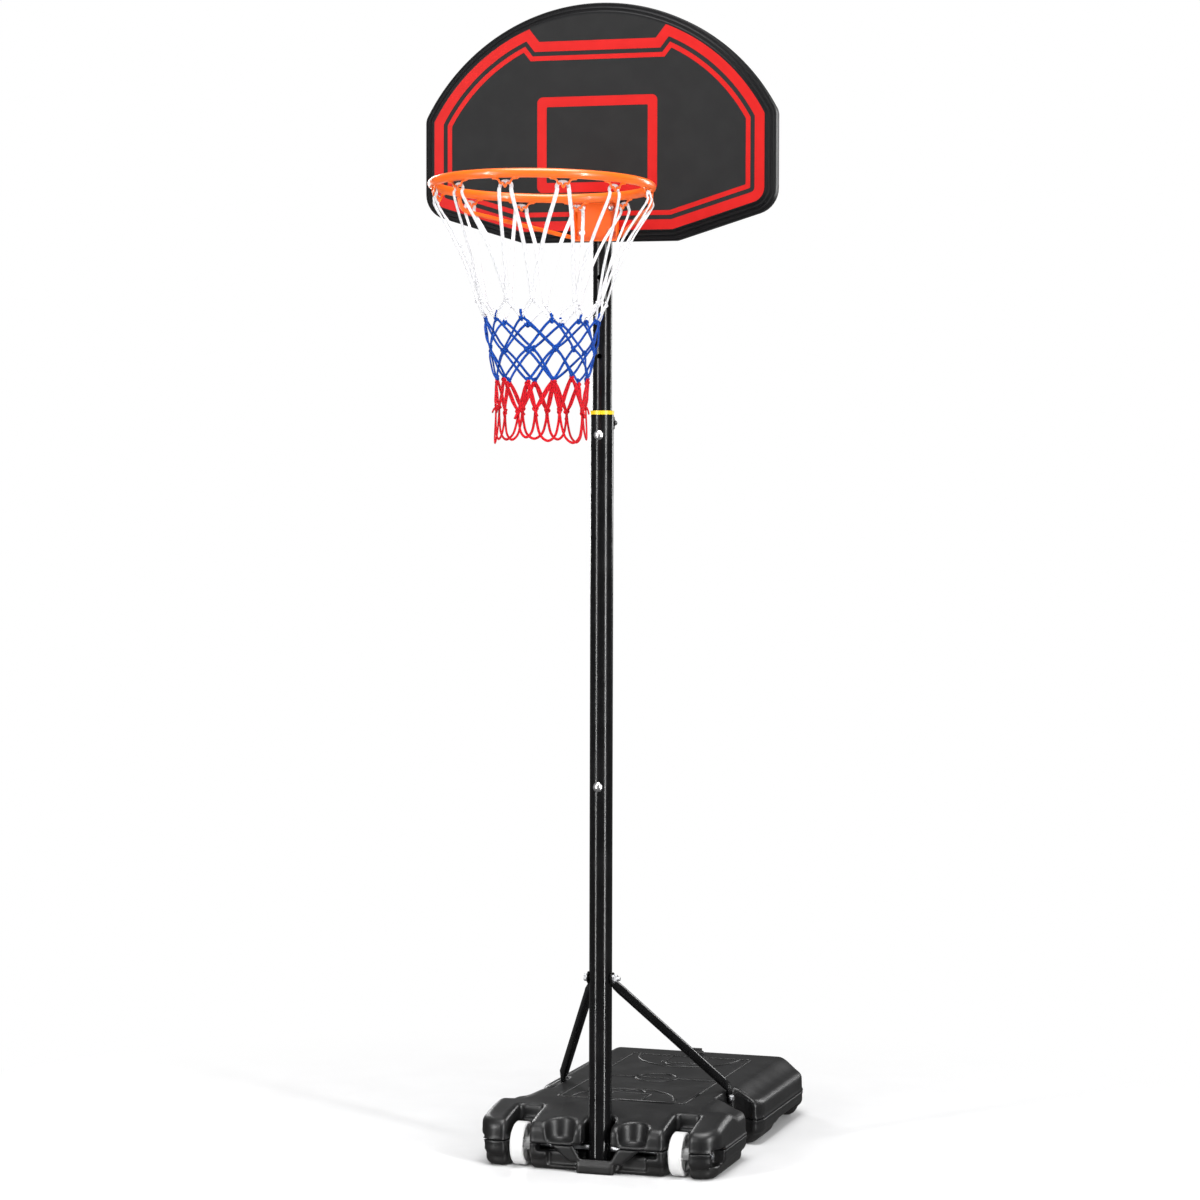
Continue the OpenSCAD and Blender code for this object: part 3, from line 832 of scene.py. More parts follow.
class Finishes:
    """Every finish on the hoop, built once."""

    def __init__(self) -> None:
        """Builds the materials."""
        self.tank = MouldedPlastic(
            "tank_plastic", (0.006, 0.006, 0.0063), (0.013, 0.013, 0.0135),
            0.40, 1.6, 0.15, dust=0.06, specular=0.5,
        ).build()
        self.board = BoardPlastic().build()
        self.red_ink = PrintedInk("red_ink", (0.42, 0.009, 0.008), (0.37, 0.007, 0.006)).build()
        self.black_paint = PowderCoat(
            "black_paint", (0.003, 0.003, 0.0033), (0.006, 0.006, 0.0065), 0.19, 0.005, 0.0, 0.3
        ).build()
        self.orange_paint = PowderCoat(
            "orange_paint", (0.80, 0.125, 0.006), (0.72, 0.10, 0.005), 0.30, 0.03, 0.35
        ).build()
        self.chrome = PlatedSteel("chrome", (0.92, 0.92, 0.93), (0.8, 0.8, 0.82), 0.3).build()
        self.zinc = PlatedSteel("zinc", (0.85, 0.86, 0.88), (0.7, 0.71, 0.73), 0.4).build()
        self.white = MouldedPlastic(
            "white_plastic", (0.66, 0.66, 0.66), (0.58, 0.58, 0.57), 0.38, 0.8, 0.04, dust=0.15
        ).build()
        self.yellow = MouldedPlastic(
            "yellow_plastic", (0.72, 0.50, 0.01), (0.66, 0.44, 0.01), 0.35, 0.8, 0.04
        ).build()
        self.trim = MouldedPlastic(
            "black_trim", (0.010, 0.010, 0.010), (0.02, 0.02, 0.02), 0.34, 0.9, 0.05
        ).build()
        self.bush = MouldedPlastic(
            "bush_plastic", (0.7, 0.69, 0.65), (0.6, 0.59, 0.55), 0.45, 0.8, 0.04
        ).build()
        self.rubber = MouldedPlastic(
            "rubber", (0.018, 0.018, 0.018), (0.03, 0.03, 0.03), 0.75, 0.7, 0.06
        ).build()
        self.ballast = MouldedPlastic(
            "ballast", (0.42, 0.34, 0.22), (0.5, 0.42, 0.3), 0.9, 1.2, 0.5
        ).build()
        # each cord's second colour is the painted shade in its braid's grooves, also used for its
        # dull patches
        self.white_cord = BraidedCord("white_cord", (0.68, 0.68, 0.69), (0.53, 0.53, 0.55)).build()
        self.blue_cord = BraidedCord(
            "blue_cord", (0.001, 0.060, 0.36), (0.001, 0.020, 0.15)
        ).build()
        self.red_cord = BraidedCord("red_cord", (0.62, 0.004, 0.012), (0.28, 0.002, 0.006)).build()


# ---------- tank ----------


def blend_min(a: np.ndarray, b: np.ndarray, k: float) -> np.ndarray:
    """Smaller of two distances, with the crease filled over a width k.

    Args:
        a: a distance.
        b: another distance.
        k: the fillet's width.

    Returns:
        The blended distance.
    """
    h = np.clip(0.5 + 0.5 * (b - a) / k, 0, 1)
    return b + (a - b) * h - k * h * (1 - h)


def blend_max(a: np.ndarray, b: np.ndarray, k: float) -> np.ndarray:
    """Larger of two distances, with the edge rounded over a width k.

    Args:
        a: a distance.
        b: another distance.
        k: the rounding's width.

    Returns:
        The blended distance.
    """
    return -blend_min(-a, -b, k)


def box_distance(
    at: tuple[np.ndarray, np.ndarray, np.ndarray],
    low: tuple[float, float, float],
    high: tuple[float, float, float],
    r: float,
) -> np.ndarray:
    """Distance to a box between two corners, with its edges rounded to r.

    It is the length of the part outside the shrunken box, less r, plus the largest
    negative side distance inside.

    Args:
        at: x, y and z, which broadcast together.
        low: the lowest corner.
        high: the highest corner.
        r: the edges' radius.

    Returns:
        Distances, negative inside.
    """
    q = [
        np.abs(c - (a + b) / 2) - (b - a) / 2 + r for c, a, b in zip(at, low, high)
    ]
    out = np.sqrt(sum(np.maximum(v, 0) ** 2 for v in q))
    return out + np.minimum(np.maximum(np.maximum(q[0], q[1]), q[2]), 0) - r


def slab_distance(
    at: tuple[np.ndarray, np.ndarray, np.ndarray],
    half: float,
    front: float,
    rear: float,
    corner: float,
    low: float,
    high: float | np.ndarray,
    edge: float,
    draft: float = 0.0,
) -> np.ndarray:
    """Distance to a slab with a rounded plan, leaning walls and rounded edges.

    The plan's distance is a rounded rectangle's, to which draft times the height above
    low is added; it is joined to the height's own distance by a quarter circle of
    radius edge. The top may be a height for every place of the plan.

    Args:
        at: x, y and z, which broadcast together.
        half: half the width.
        front: y of the front wall.
        rear: y of the rear wall.
        corner: the plan's corner radius.
        low: height of the underside.
        high: height of the top, one number or one for each place.
        edge: radius of the upper and lower edges.
        draft: how far the walls lean in for each millimetre of height.

    Returns:
        Distances, negative inside.
    """
    x, y, z = at
    qx = np.abs(x) - half + corner
    qy = np.abs(y - (front + rear) / 2) - (rear - front) / 2 + corner
    plan = np.hypot(np.maximum(qx, 0), np.maximum(qy, 0))
    plan = plan + np.minimum(np.maximum(qx, qy), 0) - corner
    plan = plan + draft * np.maximum(z - low, 0)
    tall = np.abs(z - (low + high) / 2) - (high - low) / 2
    a, b = plan + edge, tall + edge
    round_part = np.hypot(np.maximum(a, 0), np.maximum(b, 0))
    return round_part + np.minimum(np.maximum(a, b), 0) - edge


@dataclass
class Tank:
    """Blow-moulded ballast tank in two moulded halves, with raised court lines."""

    half: float = 250.0
    rear_half: float = 241.5
    draft: float = 0.03
    lip: float = 4.0
    front: float = -35.0
    rear: float = 705.0
    top: float = 116.0
    slope_start: float = 135.0
    slope_drop: float = 27.0
    shoulder: tuple[float, float] = (176.0, 226.0)
    parting: float = 52.0
    block_back: float = 215.0
    block_start: float = 295.0
    waist: float = 175.0
    wheel_x: float = 163.0
    well: float = 50.0
    pad_half: float = 17.0
    step: float = 3.1
    court: tuple[float, float, float] = (131.0, 130.0, 627.0)
    court_corner: float = 7.0
    court_circle: float = 42.0
    court_arc: tuple[float, float] = (108.0, 118.0)
    court_key: tuple[float, float, float] = (40.0, 76.0, 30.0)
    scoop: tuple[float, float] = (75.0, -27.0)
    scoop_radius: float = 25.0
    scoop_floor: float = 58.0
    slot: float = 29.0
    notch: tuple[float, float, float] = (175.0, 217.5, 330.0)
    notch_corner: float = 209.0
    notch_turn: float = math.radians(50)
    lower_v: tuple[float, float, float, float] = (86.0, 47.0, 32.0, 27.0)
    upper_v: tuple[float, float, float, float] = (50.0, 59.0, 19.0, 32.0)
    wall: float = 11.0
    load_top: float = 92.0

    def deck_height(
        self, x: np.ndarray, y: np.ndarray, shoulders_from: float, drop: float
    ) -> np.ndarray:
        """Height of the deck over the plan.

        Towards the front it falls with the square of the way past slope_start; beside the
        deck it drops to a lower shoulder along a smooth step, 3s^2 - 2s^3, from the given y
        backwards.

        Args:
            x: places across.
            y: places along.
            shoulders_from: y where the shoulders start.
            drop: how far the shoulders lie below the deck.

        Returns:
            The height for each place.
        """
        inner, outer = self.shoulder
        fall = np.clip((self.slope_start - y) / (self.slope_start - self.front), 0, 1)
        s = np.clip((np.abs(x) - inner) / (outer - inner), 0, 1)
        back = np.clip((y - shoulders_from) / 60, 0, 1)
        share = (3 * s**2 - 2 * s**3) * (3 * back**2 - 2 * back**3)
        return self.top - self.slope_drop * fall**2 - drop * share

    def outside(self, at: tuple[np.ndarray, ...]) -> np.ndarray:
        """Distance to the moulding's bulk: two blocks joined by a waist.

        Args:
            at: x, y and z of the grid.

        Returns:
            Distances, negative inside.
        """
        x, y, z = at
        cut = self.parting
        front = slab_distance(
            at,
            half=self.half - 2,
            front=self.front + 1,
            rear=self.block_back - 1,
            corner=42,
            low=20,
            high=self.deck_height(x, y, shoulders_from=80, drop=17),
            edge=16,
            draft=self.draft,
        )
        rear = slab_distance(
            at,
            half=self.rear_half - 1.5,
            front=self.block_start,
            rear=self.rear - 1,
            corner=60,
            low=20,
            high=self.deck_height(x, y, shoulders_from=0, drop=22),
            edge=15,
            draft=self.draft,
        )
        low_front = slab_distance(
            at,
            half=self.half - 11,
            front=self.front + 11,
            rear=self.block_back - 12,
            corner=34,
            low=0,
            high=cut + 9,
            edge=13,
        )
        low_rear = slab_distance(
            at,
            half=self.rear_half - 10.5,
            front=self.block_start + 12,
            rear=self.rear - 12,
            corner=50,
            low=0,
            high=cut + 9,
            edge=26,
        )
        waist = box_distance(
            at, low=(-self.waist, 150, 0), high=(self.waist, 345, self.top), r=7
        )
        bulk = blend_min(blend_min(front, rear, 8), blend_min(low_front, low_rear, 4), 3)
        bulk = blend_min(bulk, waist, 9)
        lips = [
            slab_distance(
                at,
                half=half,
                front=start,
                rear=end,
                corner=corner,
                low=cut - self.lip,
                high=cut + self.lip,
                edge=2.5,
            )
            for half, start, end, corner in (
                (self.half, self.front, self.block_back, 43),
                (self.rear_half, self.block_start, self.rear, 61),
            )
        ]
        bulk = blend_min(bulk, np.minimum(*lips), 3)
        return blend_max(blend_max(bulk, z - self.top + 0 * bulk, 1), -z + 0 * bulk, 1)

    def hollows(self, at: tuple[np.ndarray, ...], d: np.ndarray) -> np.ndarray:
        """Cuts the wells, scoops, axle slots, pole's bay and channel, notches and arches.

        Args:
            at: x, y and z of the grid.
            d: the bulk's distances.

        Returns:
            Distances with every hollow taken out.
        """
        x, y, z = at
        ax = np.abs(x)
        fat = (ax, y, z)
        half_well = self.well / 2
        well = box_distance(
            fat,
            low=(self.wheel_x - half_well, -90, -30),
            high=(self.wheel_x + half_well, 60, 220),
            r=9,
        )
        pad = box_distance(
            fat,
            low=(self.wheel_x - self.pad_half, 47, 30),
            high=(self.wheel_x + self.pad_half, 75, 84),
            r=5,
        )
        well = blend_max(well, -pad, 5)
        scoop_x, scoop_y = self.scoop
        floor = self.scoop_floor
        cup = np.hypot(ax - scoop_x, y - scoop_y) - (
            self.scoop_radius + 9 * (z - floor) / floor
        )
        cup = blend_max(cup, floor - z, 10)
        axle_slot = box_distance(fat, low=(-40, -90, 37), high=(124, 11, 50), r=4)
        pockets = box_distance(fat, low=(40, -90, 9), high=(102, -16, 50), r=5)
        bay = box_distance(fat, low=(-60, -90, 22), high=(50, 4, 54), r=5)
        slot = np.where(y < 1, ax - self.slot + 0 * y, np.hypot(ax, y - 1) - self.slot)
        slot = np.maximum(slot, 20 - z)
        inner, start, end_y = self.notch
        notch = blend_max(inner - ax + 0 * y, start - y + 0 * ax, 10)
        turn = self.notch_turn
        slant = (ax - self.notch_corner) * math.cos(turn) + (y - end_y) * math.sin(turn)
        notch = blend_max(notch, slant, 8)
        notch = blend_max(notch, y - end_y + 0 * ax, 8)
        arch = box_distance(fat, low=(190, 455, -60), high=(330, 640, 28), r=14)
        end = box_distance(fat, low=(221, -19, 24), high=(290, 26, 58), r=6)
        for hollow, k in (
            (well, 10),
            (cup, 7),
            (pockets, 5),
            (axle_slot, 5),
            (bay, 6),
            (slot, 7),
            (notch, 9),
            (arch, 8),
            (end, 6),
        ):
            d = blend_max(d, -hollow, k)
        return d

    def band(self, at: tuple[np.ndarray, ...]) -> np.ndarray:
        """Distance to the V-shaped band across the pole's bay, and its foot block.

        The band is a plate that keeps above a lower V and outside an upper V; each V is
        the larger of its sloping line's distance and its floor's.

        Args:
            at: x, y and z of the grid.

        Returns:
            Distances, negative inside.
        """
        x, y, z = at
        ax = np.abs(x)
        lower = np.maximum(self.slope(ax, z, self.lower_v), 20 - z)
        upper = np.maximum(self.slope(ax, z, self.upper_v), 27 - z)
        plate = blend_max(blend_max(lower, -upper, 3), z - 58 + 0 * ax, 3)
        plate = blend_max(plate, np.abs(y + 30) - 5, 3)
        foot = box_distance(at, low=(-38, -38, 0), high=(38, -23, 20), r=3)
        return blend_min(plate, foot, 3)

    def slope(
        self, x: np.ndarray, z: np.ndarray, line: tuple[float, float, float, float]
    ) -> np.ndarray:
        """Distance to the outer side of a straight line that rises outwards.

        Args:
            x: places across.
            z: heights.
            line: a point's x and z, and how far the line runs and rises.

        Returns:
            Distances, negative on the side of the middle.
        """
        x0, z0, run, rise = line
        return ((x - x0) * rise - (z - z0) * run) / math.hypot(run, rise)

    def field(self) -> tuple[np.ndarray, np.ndarray]:
        """Distances on a regular grid over the right half, mirrored to the left.

        Returns:
            The grid (nx, ny, nz) and its lowest corner in millimetres.
        """
        s = self.step
        x = np.arange(0, 258 + s, s, dtype=np.float32)[:, None, None]
        y = np.arange(-47.5, 715 + s, s, dtype=np.float32)[None, :, None]
        z = np.arange(-7.5, 125 + s, s, dtype=np.float32)[None, None, :]
        at = (x, y, z)
        d = self.hollows(at, self.outside(at))
        d = blend_min(d, self.band(at), 3)
        d = np.concatenate([d[:0:-1], d], 0)
        return d.astype(np.float32), np.array([-x.max(), y.min(), z.min()])

    def shell(self, name: str, d: np.ndarray, low: np.ndarray, stride: int = 1) -> Object:
        """Wraps the zero surface of a grid in faces; it holds every stride-th sample.

        Args:
            name: the object's name.
            d: distances on the grid.
            low: the grid's lowest corner.
            stride: how many steps apart its samples are.

        Returns:
            The object.
        """
        grid = openvdb.FloatGrid(3.0)
        step = self.step * stride
        grid.copyFromArray(np.clip(d / step, -3, 3).astype(np.float32))
        points, _, quads = grid.convertToPolygons(0.0, 0.0)
        points = points * step + low
        return from_arrays(name, points, quads[:, ::-1].astype(int).tolist())

    def court_lines(self) -> list[Surface]:
        """Raised lines of a court on the deck: a flat-topped ridge along each line.

        Returns:
            One surface for each line.
        """
        half, near, far = self.court
        middle = (near + far) / 2
        a = np.linspace(0, math.pi, 49)
        turn = np.linspace(0, 2 * math.pi, 96, endpoint=False)
        section = np.array(
            [(-4.2, -1.5), (4.2, -1.5), (3.4, 1.0), (2.0, 1.9), (-2.0, 1.9), (-3.4, 1.0)]
        )
        edge = np.array(
            [(0, near), (half, near), (half, far), (-half, far), (-half, near), (0, near)],
            float,
        )
        across = np.stack([np.linspace(-half, half, 40), np.full(40, middle)], -1)
        ring = self.court_circle * np.stack([np.cos(turn), np.sin(turn)], -1)
        lines: list[tuple[np.ndarray, bool]] = [
            (corner_path(edge, self.court_corner), False),
            (across, False),
            (ring + np.array([0.0, middle]), True),
        ]
        wide, deep = self.court_arc
        key_half, key_deep, key_arc = self.court_key
        for end, way in ((near, 1), (far, -1)):
            arc = np.stack([np.cos(a) * wide, end + way * np.sin(a) * deep], -1)
            line = end + way * key_deep
            key = np.array(
                [(-key_half, end), (-key_half, line), (key_half, line), (key_half, end)]
            )
            free = np.stack(
                [np.cos(a) * key_arc, end + way * (key_deep + np.sin(a) * key_arc)], -1
            )
            lines += [(arc, False), (corner_path(key, 3), False), (free, False)]
        made = []
        for flat, closed in lines:
            path = np.concatenate([flat, np.full((len(flat), 1), self.top)], -1)
            points = sweep(path, section, closed=closed)
            made.append(
                Surface(points, wrap_rows=closed, wrap_cols=True, capped=not closed)
            )
        return made

    def build(self, looks: Finishes) -> None:
        """Makes both halves, the court lines and the ballast inside them.

        Args:
            looks: the hoop's finishes.
        """
        d, low = self.field()
        z = low[2] + self.step * np.arange(d.shape[2])[None, None, :]
        upper = self.shell("tank_upper_half", blend_max(d, 52.3 - z + 0 * d, 1.5), low)
        lower = self.shell("tank_lower_half", blend_max(d, z - 51.7 + 0 * d, 1.5), low)
        place_piece(upper, looks.tank, Body.BASE, ("base_tank",))
        place_piece(lower, looks.tank, Body.BASE)
        lines = write_mesh("tank_court_lines", self.court_lines())
        place_piece(lines, looks.tank, Body.BASE)
        load = blend_max(d + self.wall, z - self.load_top + 0 * d, 6)[::2, ::2, ::2]
        load = self.shell("ballast_load", load, low, 2)
        place_piece(load, looks.ballast, Body.BASE, ("ballast_fill",))


# ---------- board ----------


@dataclass
class BoardOutline:
    """The board's outline and every line parallel to it.

    A flat foot, two slanted sides, two upright sides and one arch, with a corner of its
    own radius between each pair. A parallel line moves each run in by the inset and
    shrinks each corner's radius by it.
    """

    foot: float = 1816.0
    flat: float = 156.0
    half: float = 355.0
    slant: float = math.radians(16.9)
    arch: float = 400.0
    arch_centre: float = 58.0
    corner_foot: float = 24.0
    corner_side: float = 50.0
    corner_top: float = 30.0
    notch_out: float = 138.0
    notch_arch: float = 379.0
    notch_bar: float = 386.0
    notch_edge: tuple[float, float] = (20.0, 25.0)

    def bends(self, inset: float) -> list[tuple[np.ndarray, float, float, float]]:
        """Corner arcs of the right half: centre, radius and start and end angles.

        Each centre lies inset plus the corner's radius from both of its runs.

        Args:
            inset: how far in from the outline.

        Returns:
            The arcs from the foot to the arch.
        """
        s, c = math.sin(self.slant), math.cos(self.slant)
        out = []
        r = max(self.corner_foot - inset, 2.0)
        zc = inset + r
        xc = (zc * c + self.flat * s - zc) / s
        out.append((np.array([xc, zc]), r, -math.pi / 2, -math.pi / 2 + self.slant))
        r = max(self.corner_side - inset, 2.5)
        xc = self.half - inset - r
        zc = (-self.flat * s + inset + r + xc * s) / c
        out.append((np.array([xc, zc]), r, -math.pi / 2 + self.slant, 0.0))
        r = max(self.corner_top - inset, 2.5)
        xc = self.half - inset - r
        zc = self.arch_centre + math.sqrt((self.arch - inset - r) ** 2 - xc**2)
        end = math.atan2(zc - self.arch_centre, xc)
        out.append((np.array([xc, zc]), r, 0.0, end))
        return out

    def right(self, inset: float, notch: float | None) -> np.ndarray:
        """The right half from the foot's middle to the top's middle, (n, 2).

        Args:
            inset: how far in from the outline.
            notch: how far below the notch's own line, or None where there is no notch.

        Returns:
            The points, from the middle of the foot to the middle of the top.
        """
        runs = [np.array([[x, inset] for x in (0.0, 12.0, 24.5, 25.0, 25.5, 60.0)])]
        for centre, r, a, b in self.bends(inset):
            t = np.linspace(a, b, 9)
            runs.append(centre + r * np.stack([np.cos(t), np.sin(t)], -1))
        radius = self.arch - inset
        start = math.atan2(runs[-1][-1, 1] - self.arch_centre, runs[-1][-1, 0])
        if notch is None:
            t = np.linspace(start, math.pi / 2, 60)[1:]
            runs.append(self.on_arch(radius, t))
            return np.concatenate(runs)
        edge = -unit(np.array(self.notch_edge))
        side = np.array([-edge[1], edge[0]])
        out = self.notch_out
        rise = math.sqrt(self.notch_arch**2 - out**2)
        origin = np.array([out, self.arch_centre + rise])
        p = origin + side * notch
        rel = p - np.array([0.0, self.arch_centre])
        m = rel @ edge
        k = -m - math.sqrt(max(m * m - rel @ rel + radius**2, 0.0))
        peak = p + edge * k
        bar = self.notch_bar - notch
        low = p + edge * ((bar - p[1]) / edge[1])
        t = np.linspace(start, math.atan2(peak[1] - self.arch_centre, peak[0]), 48)[1:]
        runs.append(self.on_arch(radius, t))
        runs.append(np.array([low, [low[0] / 2, bar], [0.0, bar]]))
        return np.concatenate(runs)

    def on_arch(self, radius: float, t: np.ndarray) -> np.ndarray:
        """Points of the arch at angles t.

        Args:
            radius: the arch's radius here.
            t: angles from the +x direction.

        Returns:
            The points, (n, 2).
        """
        return np.stack(
            [radius * np.cos(t), self.arch_centre + radius * np.sin(t)], -1
        )

    def loop(self, inset: float, y: float, notch: float | None = None) -> np.ndarray:
        """A closed line parallel to the outline, anticlockwise from the front, (n, 3).

        Args:
            inset: how far in from the outline.
            y: how deep it lies.
            notch: how far below the notch's own line, or None.

        Returns:
            The points.
        """
        right = self.right(inset, notch)
        left = right[-2:0:-1] * np.array([-1.0, 1.0])
        flat = np.concatenate([right, left])
        return np.stack(
            [flat[:, 0], np.full(len(flat), y), flat[:, 1] + self.foot], -1
        )


@dataclass
class Board:
    """Moulded board: field, stepped border and side wall in one shell, and its prints."""

    outline: BoardOutline = field(default_factory=BoardOutline)
    face: float = -37.2
    back: float = -5.2
    skin: float = 5.0
    target: tuple[float, float, float] = (121.4, 1911.0, 2095.0)
    line: float = 19.0
    room: tuple[float, float] = (25.2, -24.0)
    border_rows: tuple[int, int] = (6, 37)
    line_reach: tuple[float, float, float, float] = (21.0, 40.0, 48.5, 57.5)

    def shell(self) -> Surface:
        """One closed shell: loops of the outline carried along the wall's cross-section.

        The cross-section runs from the field's middle over the border's ridges and the
        rounded rim, down the side wall, round its back edge and back under the field.

        Returns:
            The shell.
        """
        f, b = self.face, self.back
        profile = [
            (60, f), (24, f), (18.6, f), (17.6, f + 0.3), (16.9, f + 1.4), (16.3, f + 2.4),
            (15.4, f + 2.7), (12.4, f + 2.7), (11.8, f + 2.2), (11.0, f + 1.9),
            (10.2, f + 2.2), (9.6, f + 3.0), (8.8, f + 4.6), (8.2, f + 5.4), (7.4, f + 5.7),
            (4.6, f + 5.7), (4.0, f + 5.3), (3.0, f + 5.1), (1.8, f + 5.6), (0.9, f + 6.6),
            (0.3, f + 8.2), (0.0, f + 10.5), (0.0, b - 3.0), (0.3, b - 1.2), (1.1, b - 0.3),
            (2.5, b), (3.9, b - 0.3), (4.7, b - 1.2), (5.0, b - 3.0), (5.6, f + 14.0),
            (6.6, f + 12.0), (9.0, f + 11.2), (20.0, f + 6.0), (24.0, f + 5.0), (60, f + 5.0),
        ]
        rows = [self.pole_room(self.outline.loop(inset, y)) for inset, y in profile]
        middle = np.array([0.0, 0.0, self.outline.foot + 210.0])
        shrink = np.array([0.02, 0.3, 0.6, 0.85])[:, None, None]
        keep = np.array([1.0, 0.0, 1.0])
        centre = middle * keep
        first = np.array(rows[0])[None] * keep
        inner = centre + (first - centre) * shrink
        front = inner + np.array([0.0, f, 0.0])
        rear = inner[::-1] + np.array([0.0, f + self.skin, 0.0])
        points = np.concatenate([front, np.stack(rows), rear])
        return Surface(points, wrap_cols=True, capped=True)

    def pole_room(self, loop: np.ndarray) -> np.ndarray:
        """Draws a loop forward where the pole passes through the lower wall.

        Args:
            loop: a loop of the wall, (n, 3).

        Returns:
            The changed loop.
        """
        half, front = self.room
        low = loop[:, 2] < self.outline.foot + 6
        inside = low & (np.abs(loop[:, 0]) < half) & (loop[:, 1] > front)
        made = loop.copy()
        made[inside, 1] = front
        return made

    def border_values(self, points: np.ndarray, count: int) -> np.ndarray:
        """1 on the rows outside the field's edge and 0 inside, for the material.

        Args:
            points: the shell's vertices.
            count: points in each row.

        Returns:
            One value for each vertex.
        """
        rows = len(points) // count
        row = np.repeat(np.arange(rows), count)
        first, last = self.border_rows
        on = ((row >= first) & (row < last)).astype(float)
        return np.concatenate([on, np.zeros(len(points) - len(on))])

    def print_line(self, outer: np.ndarray, inner: np.ndarray) -> Surface:
        """A thin layer of ink between two loops, with its edges down on the board.

        Args:
            outer: the line's outer loop.
            inner: its inner loop.

        Returns:
            The layer.
        """
        y_low, y_top = self.face + 0.05, self.face - 0.28
        lift = np.array([0.0, 1.0, 0.0])
        flat = np.array([1.0, 0.0, 1.0])
        a, b = outer * flat, inner * flat
        cols = [a + lift * y_low, a + lift * y_top, b + lift * y_top, b + lift * y_low]
        return Surface(np.stack(cols, 1), wrap_rows=True, wrap_cols=True)

    def target_loop(self, inset: float) -> np.ndarray:
        """The target's rounded rectangle, moved in by inset, anticlockwise from the front.

        Args:
            inset: how far in from the outer edge.

        Returns:
            The points, (n, 3).
        """
        half, low, high = self.target
        r = max(11.0 - inset * 0.45, 2.5)
        t = np.linspace(0, math.pi / 2, 8)
        made = []
        for n, (sx, sz) in enumerate(((1, -1), (1, 1), (-1, 1), (-1, -1))):
            cx = sx * (half - inset - r)
            cz = (high - inset - r) if sz > 0 else (low + inset + r)
            a = t + (n - 1) * math.pi / 2
            made.append(np.stack([cx + r * np.cos(a), cz + r * np.sin(a)], -1))
        flat = np.concatenate(made)
        return np.stack([flat[:, 0], np.zeros(len(flat)), flat[:, 1]], -1)

    def build(self, looks: Finishes) -> None:
        """Makes the shell and the three printed lines, and rounds the ribs behind it.

        Args:
            looks: the hoop's finishes.
        """
        surface = self.shell()
        shell = write_mesh("board_shell", [surface])
        co = np.zeros(len(shell.data.vertices) * 3, np.float32)
        shell.data.vertices.foreach_get("co", co)
        set_values(
            shell, "border", self.border_values(co.reshape(-1, 3), surface.points.shape[1])
        )
        place_piece(
            shell, looks.board, Body.HEAD, ("backboard", "board_frame")
        )
        soften_node("board_ribs", looks.board, Body.HEAD, 0.5)
        o = self.outline
        start, wide_end, thin_start, thin_end = self.line_reach
        for name, near, far in (("wide", start, wide_end), ("thin", thin_start, thin_end)):
            outer = o.loop(near, 0.0, notch=near - start)
            inner = o.loop(far, 0.0, notch=far - start)
            ink = write_mesh(f"board_{name}_line", [self.print_line(outer, inner)], False)
            place_piece(ink, looks.red_ink, Body.HEAD)
        ink = write_mesh(
            "board_target",
            [self.print_line(self.target_loop(0), self.target_loop(self.line))],
            False,
        )
        place_piece(ink, looks.red_ink, Body.HEAD)


# ---------- ring ----------


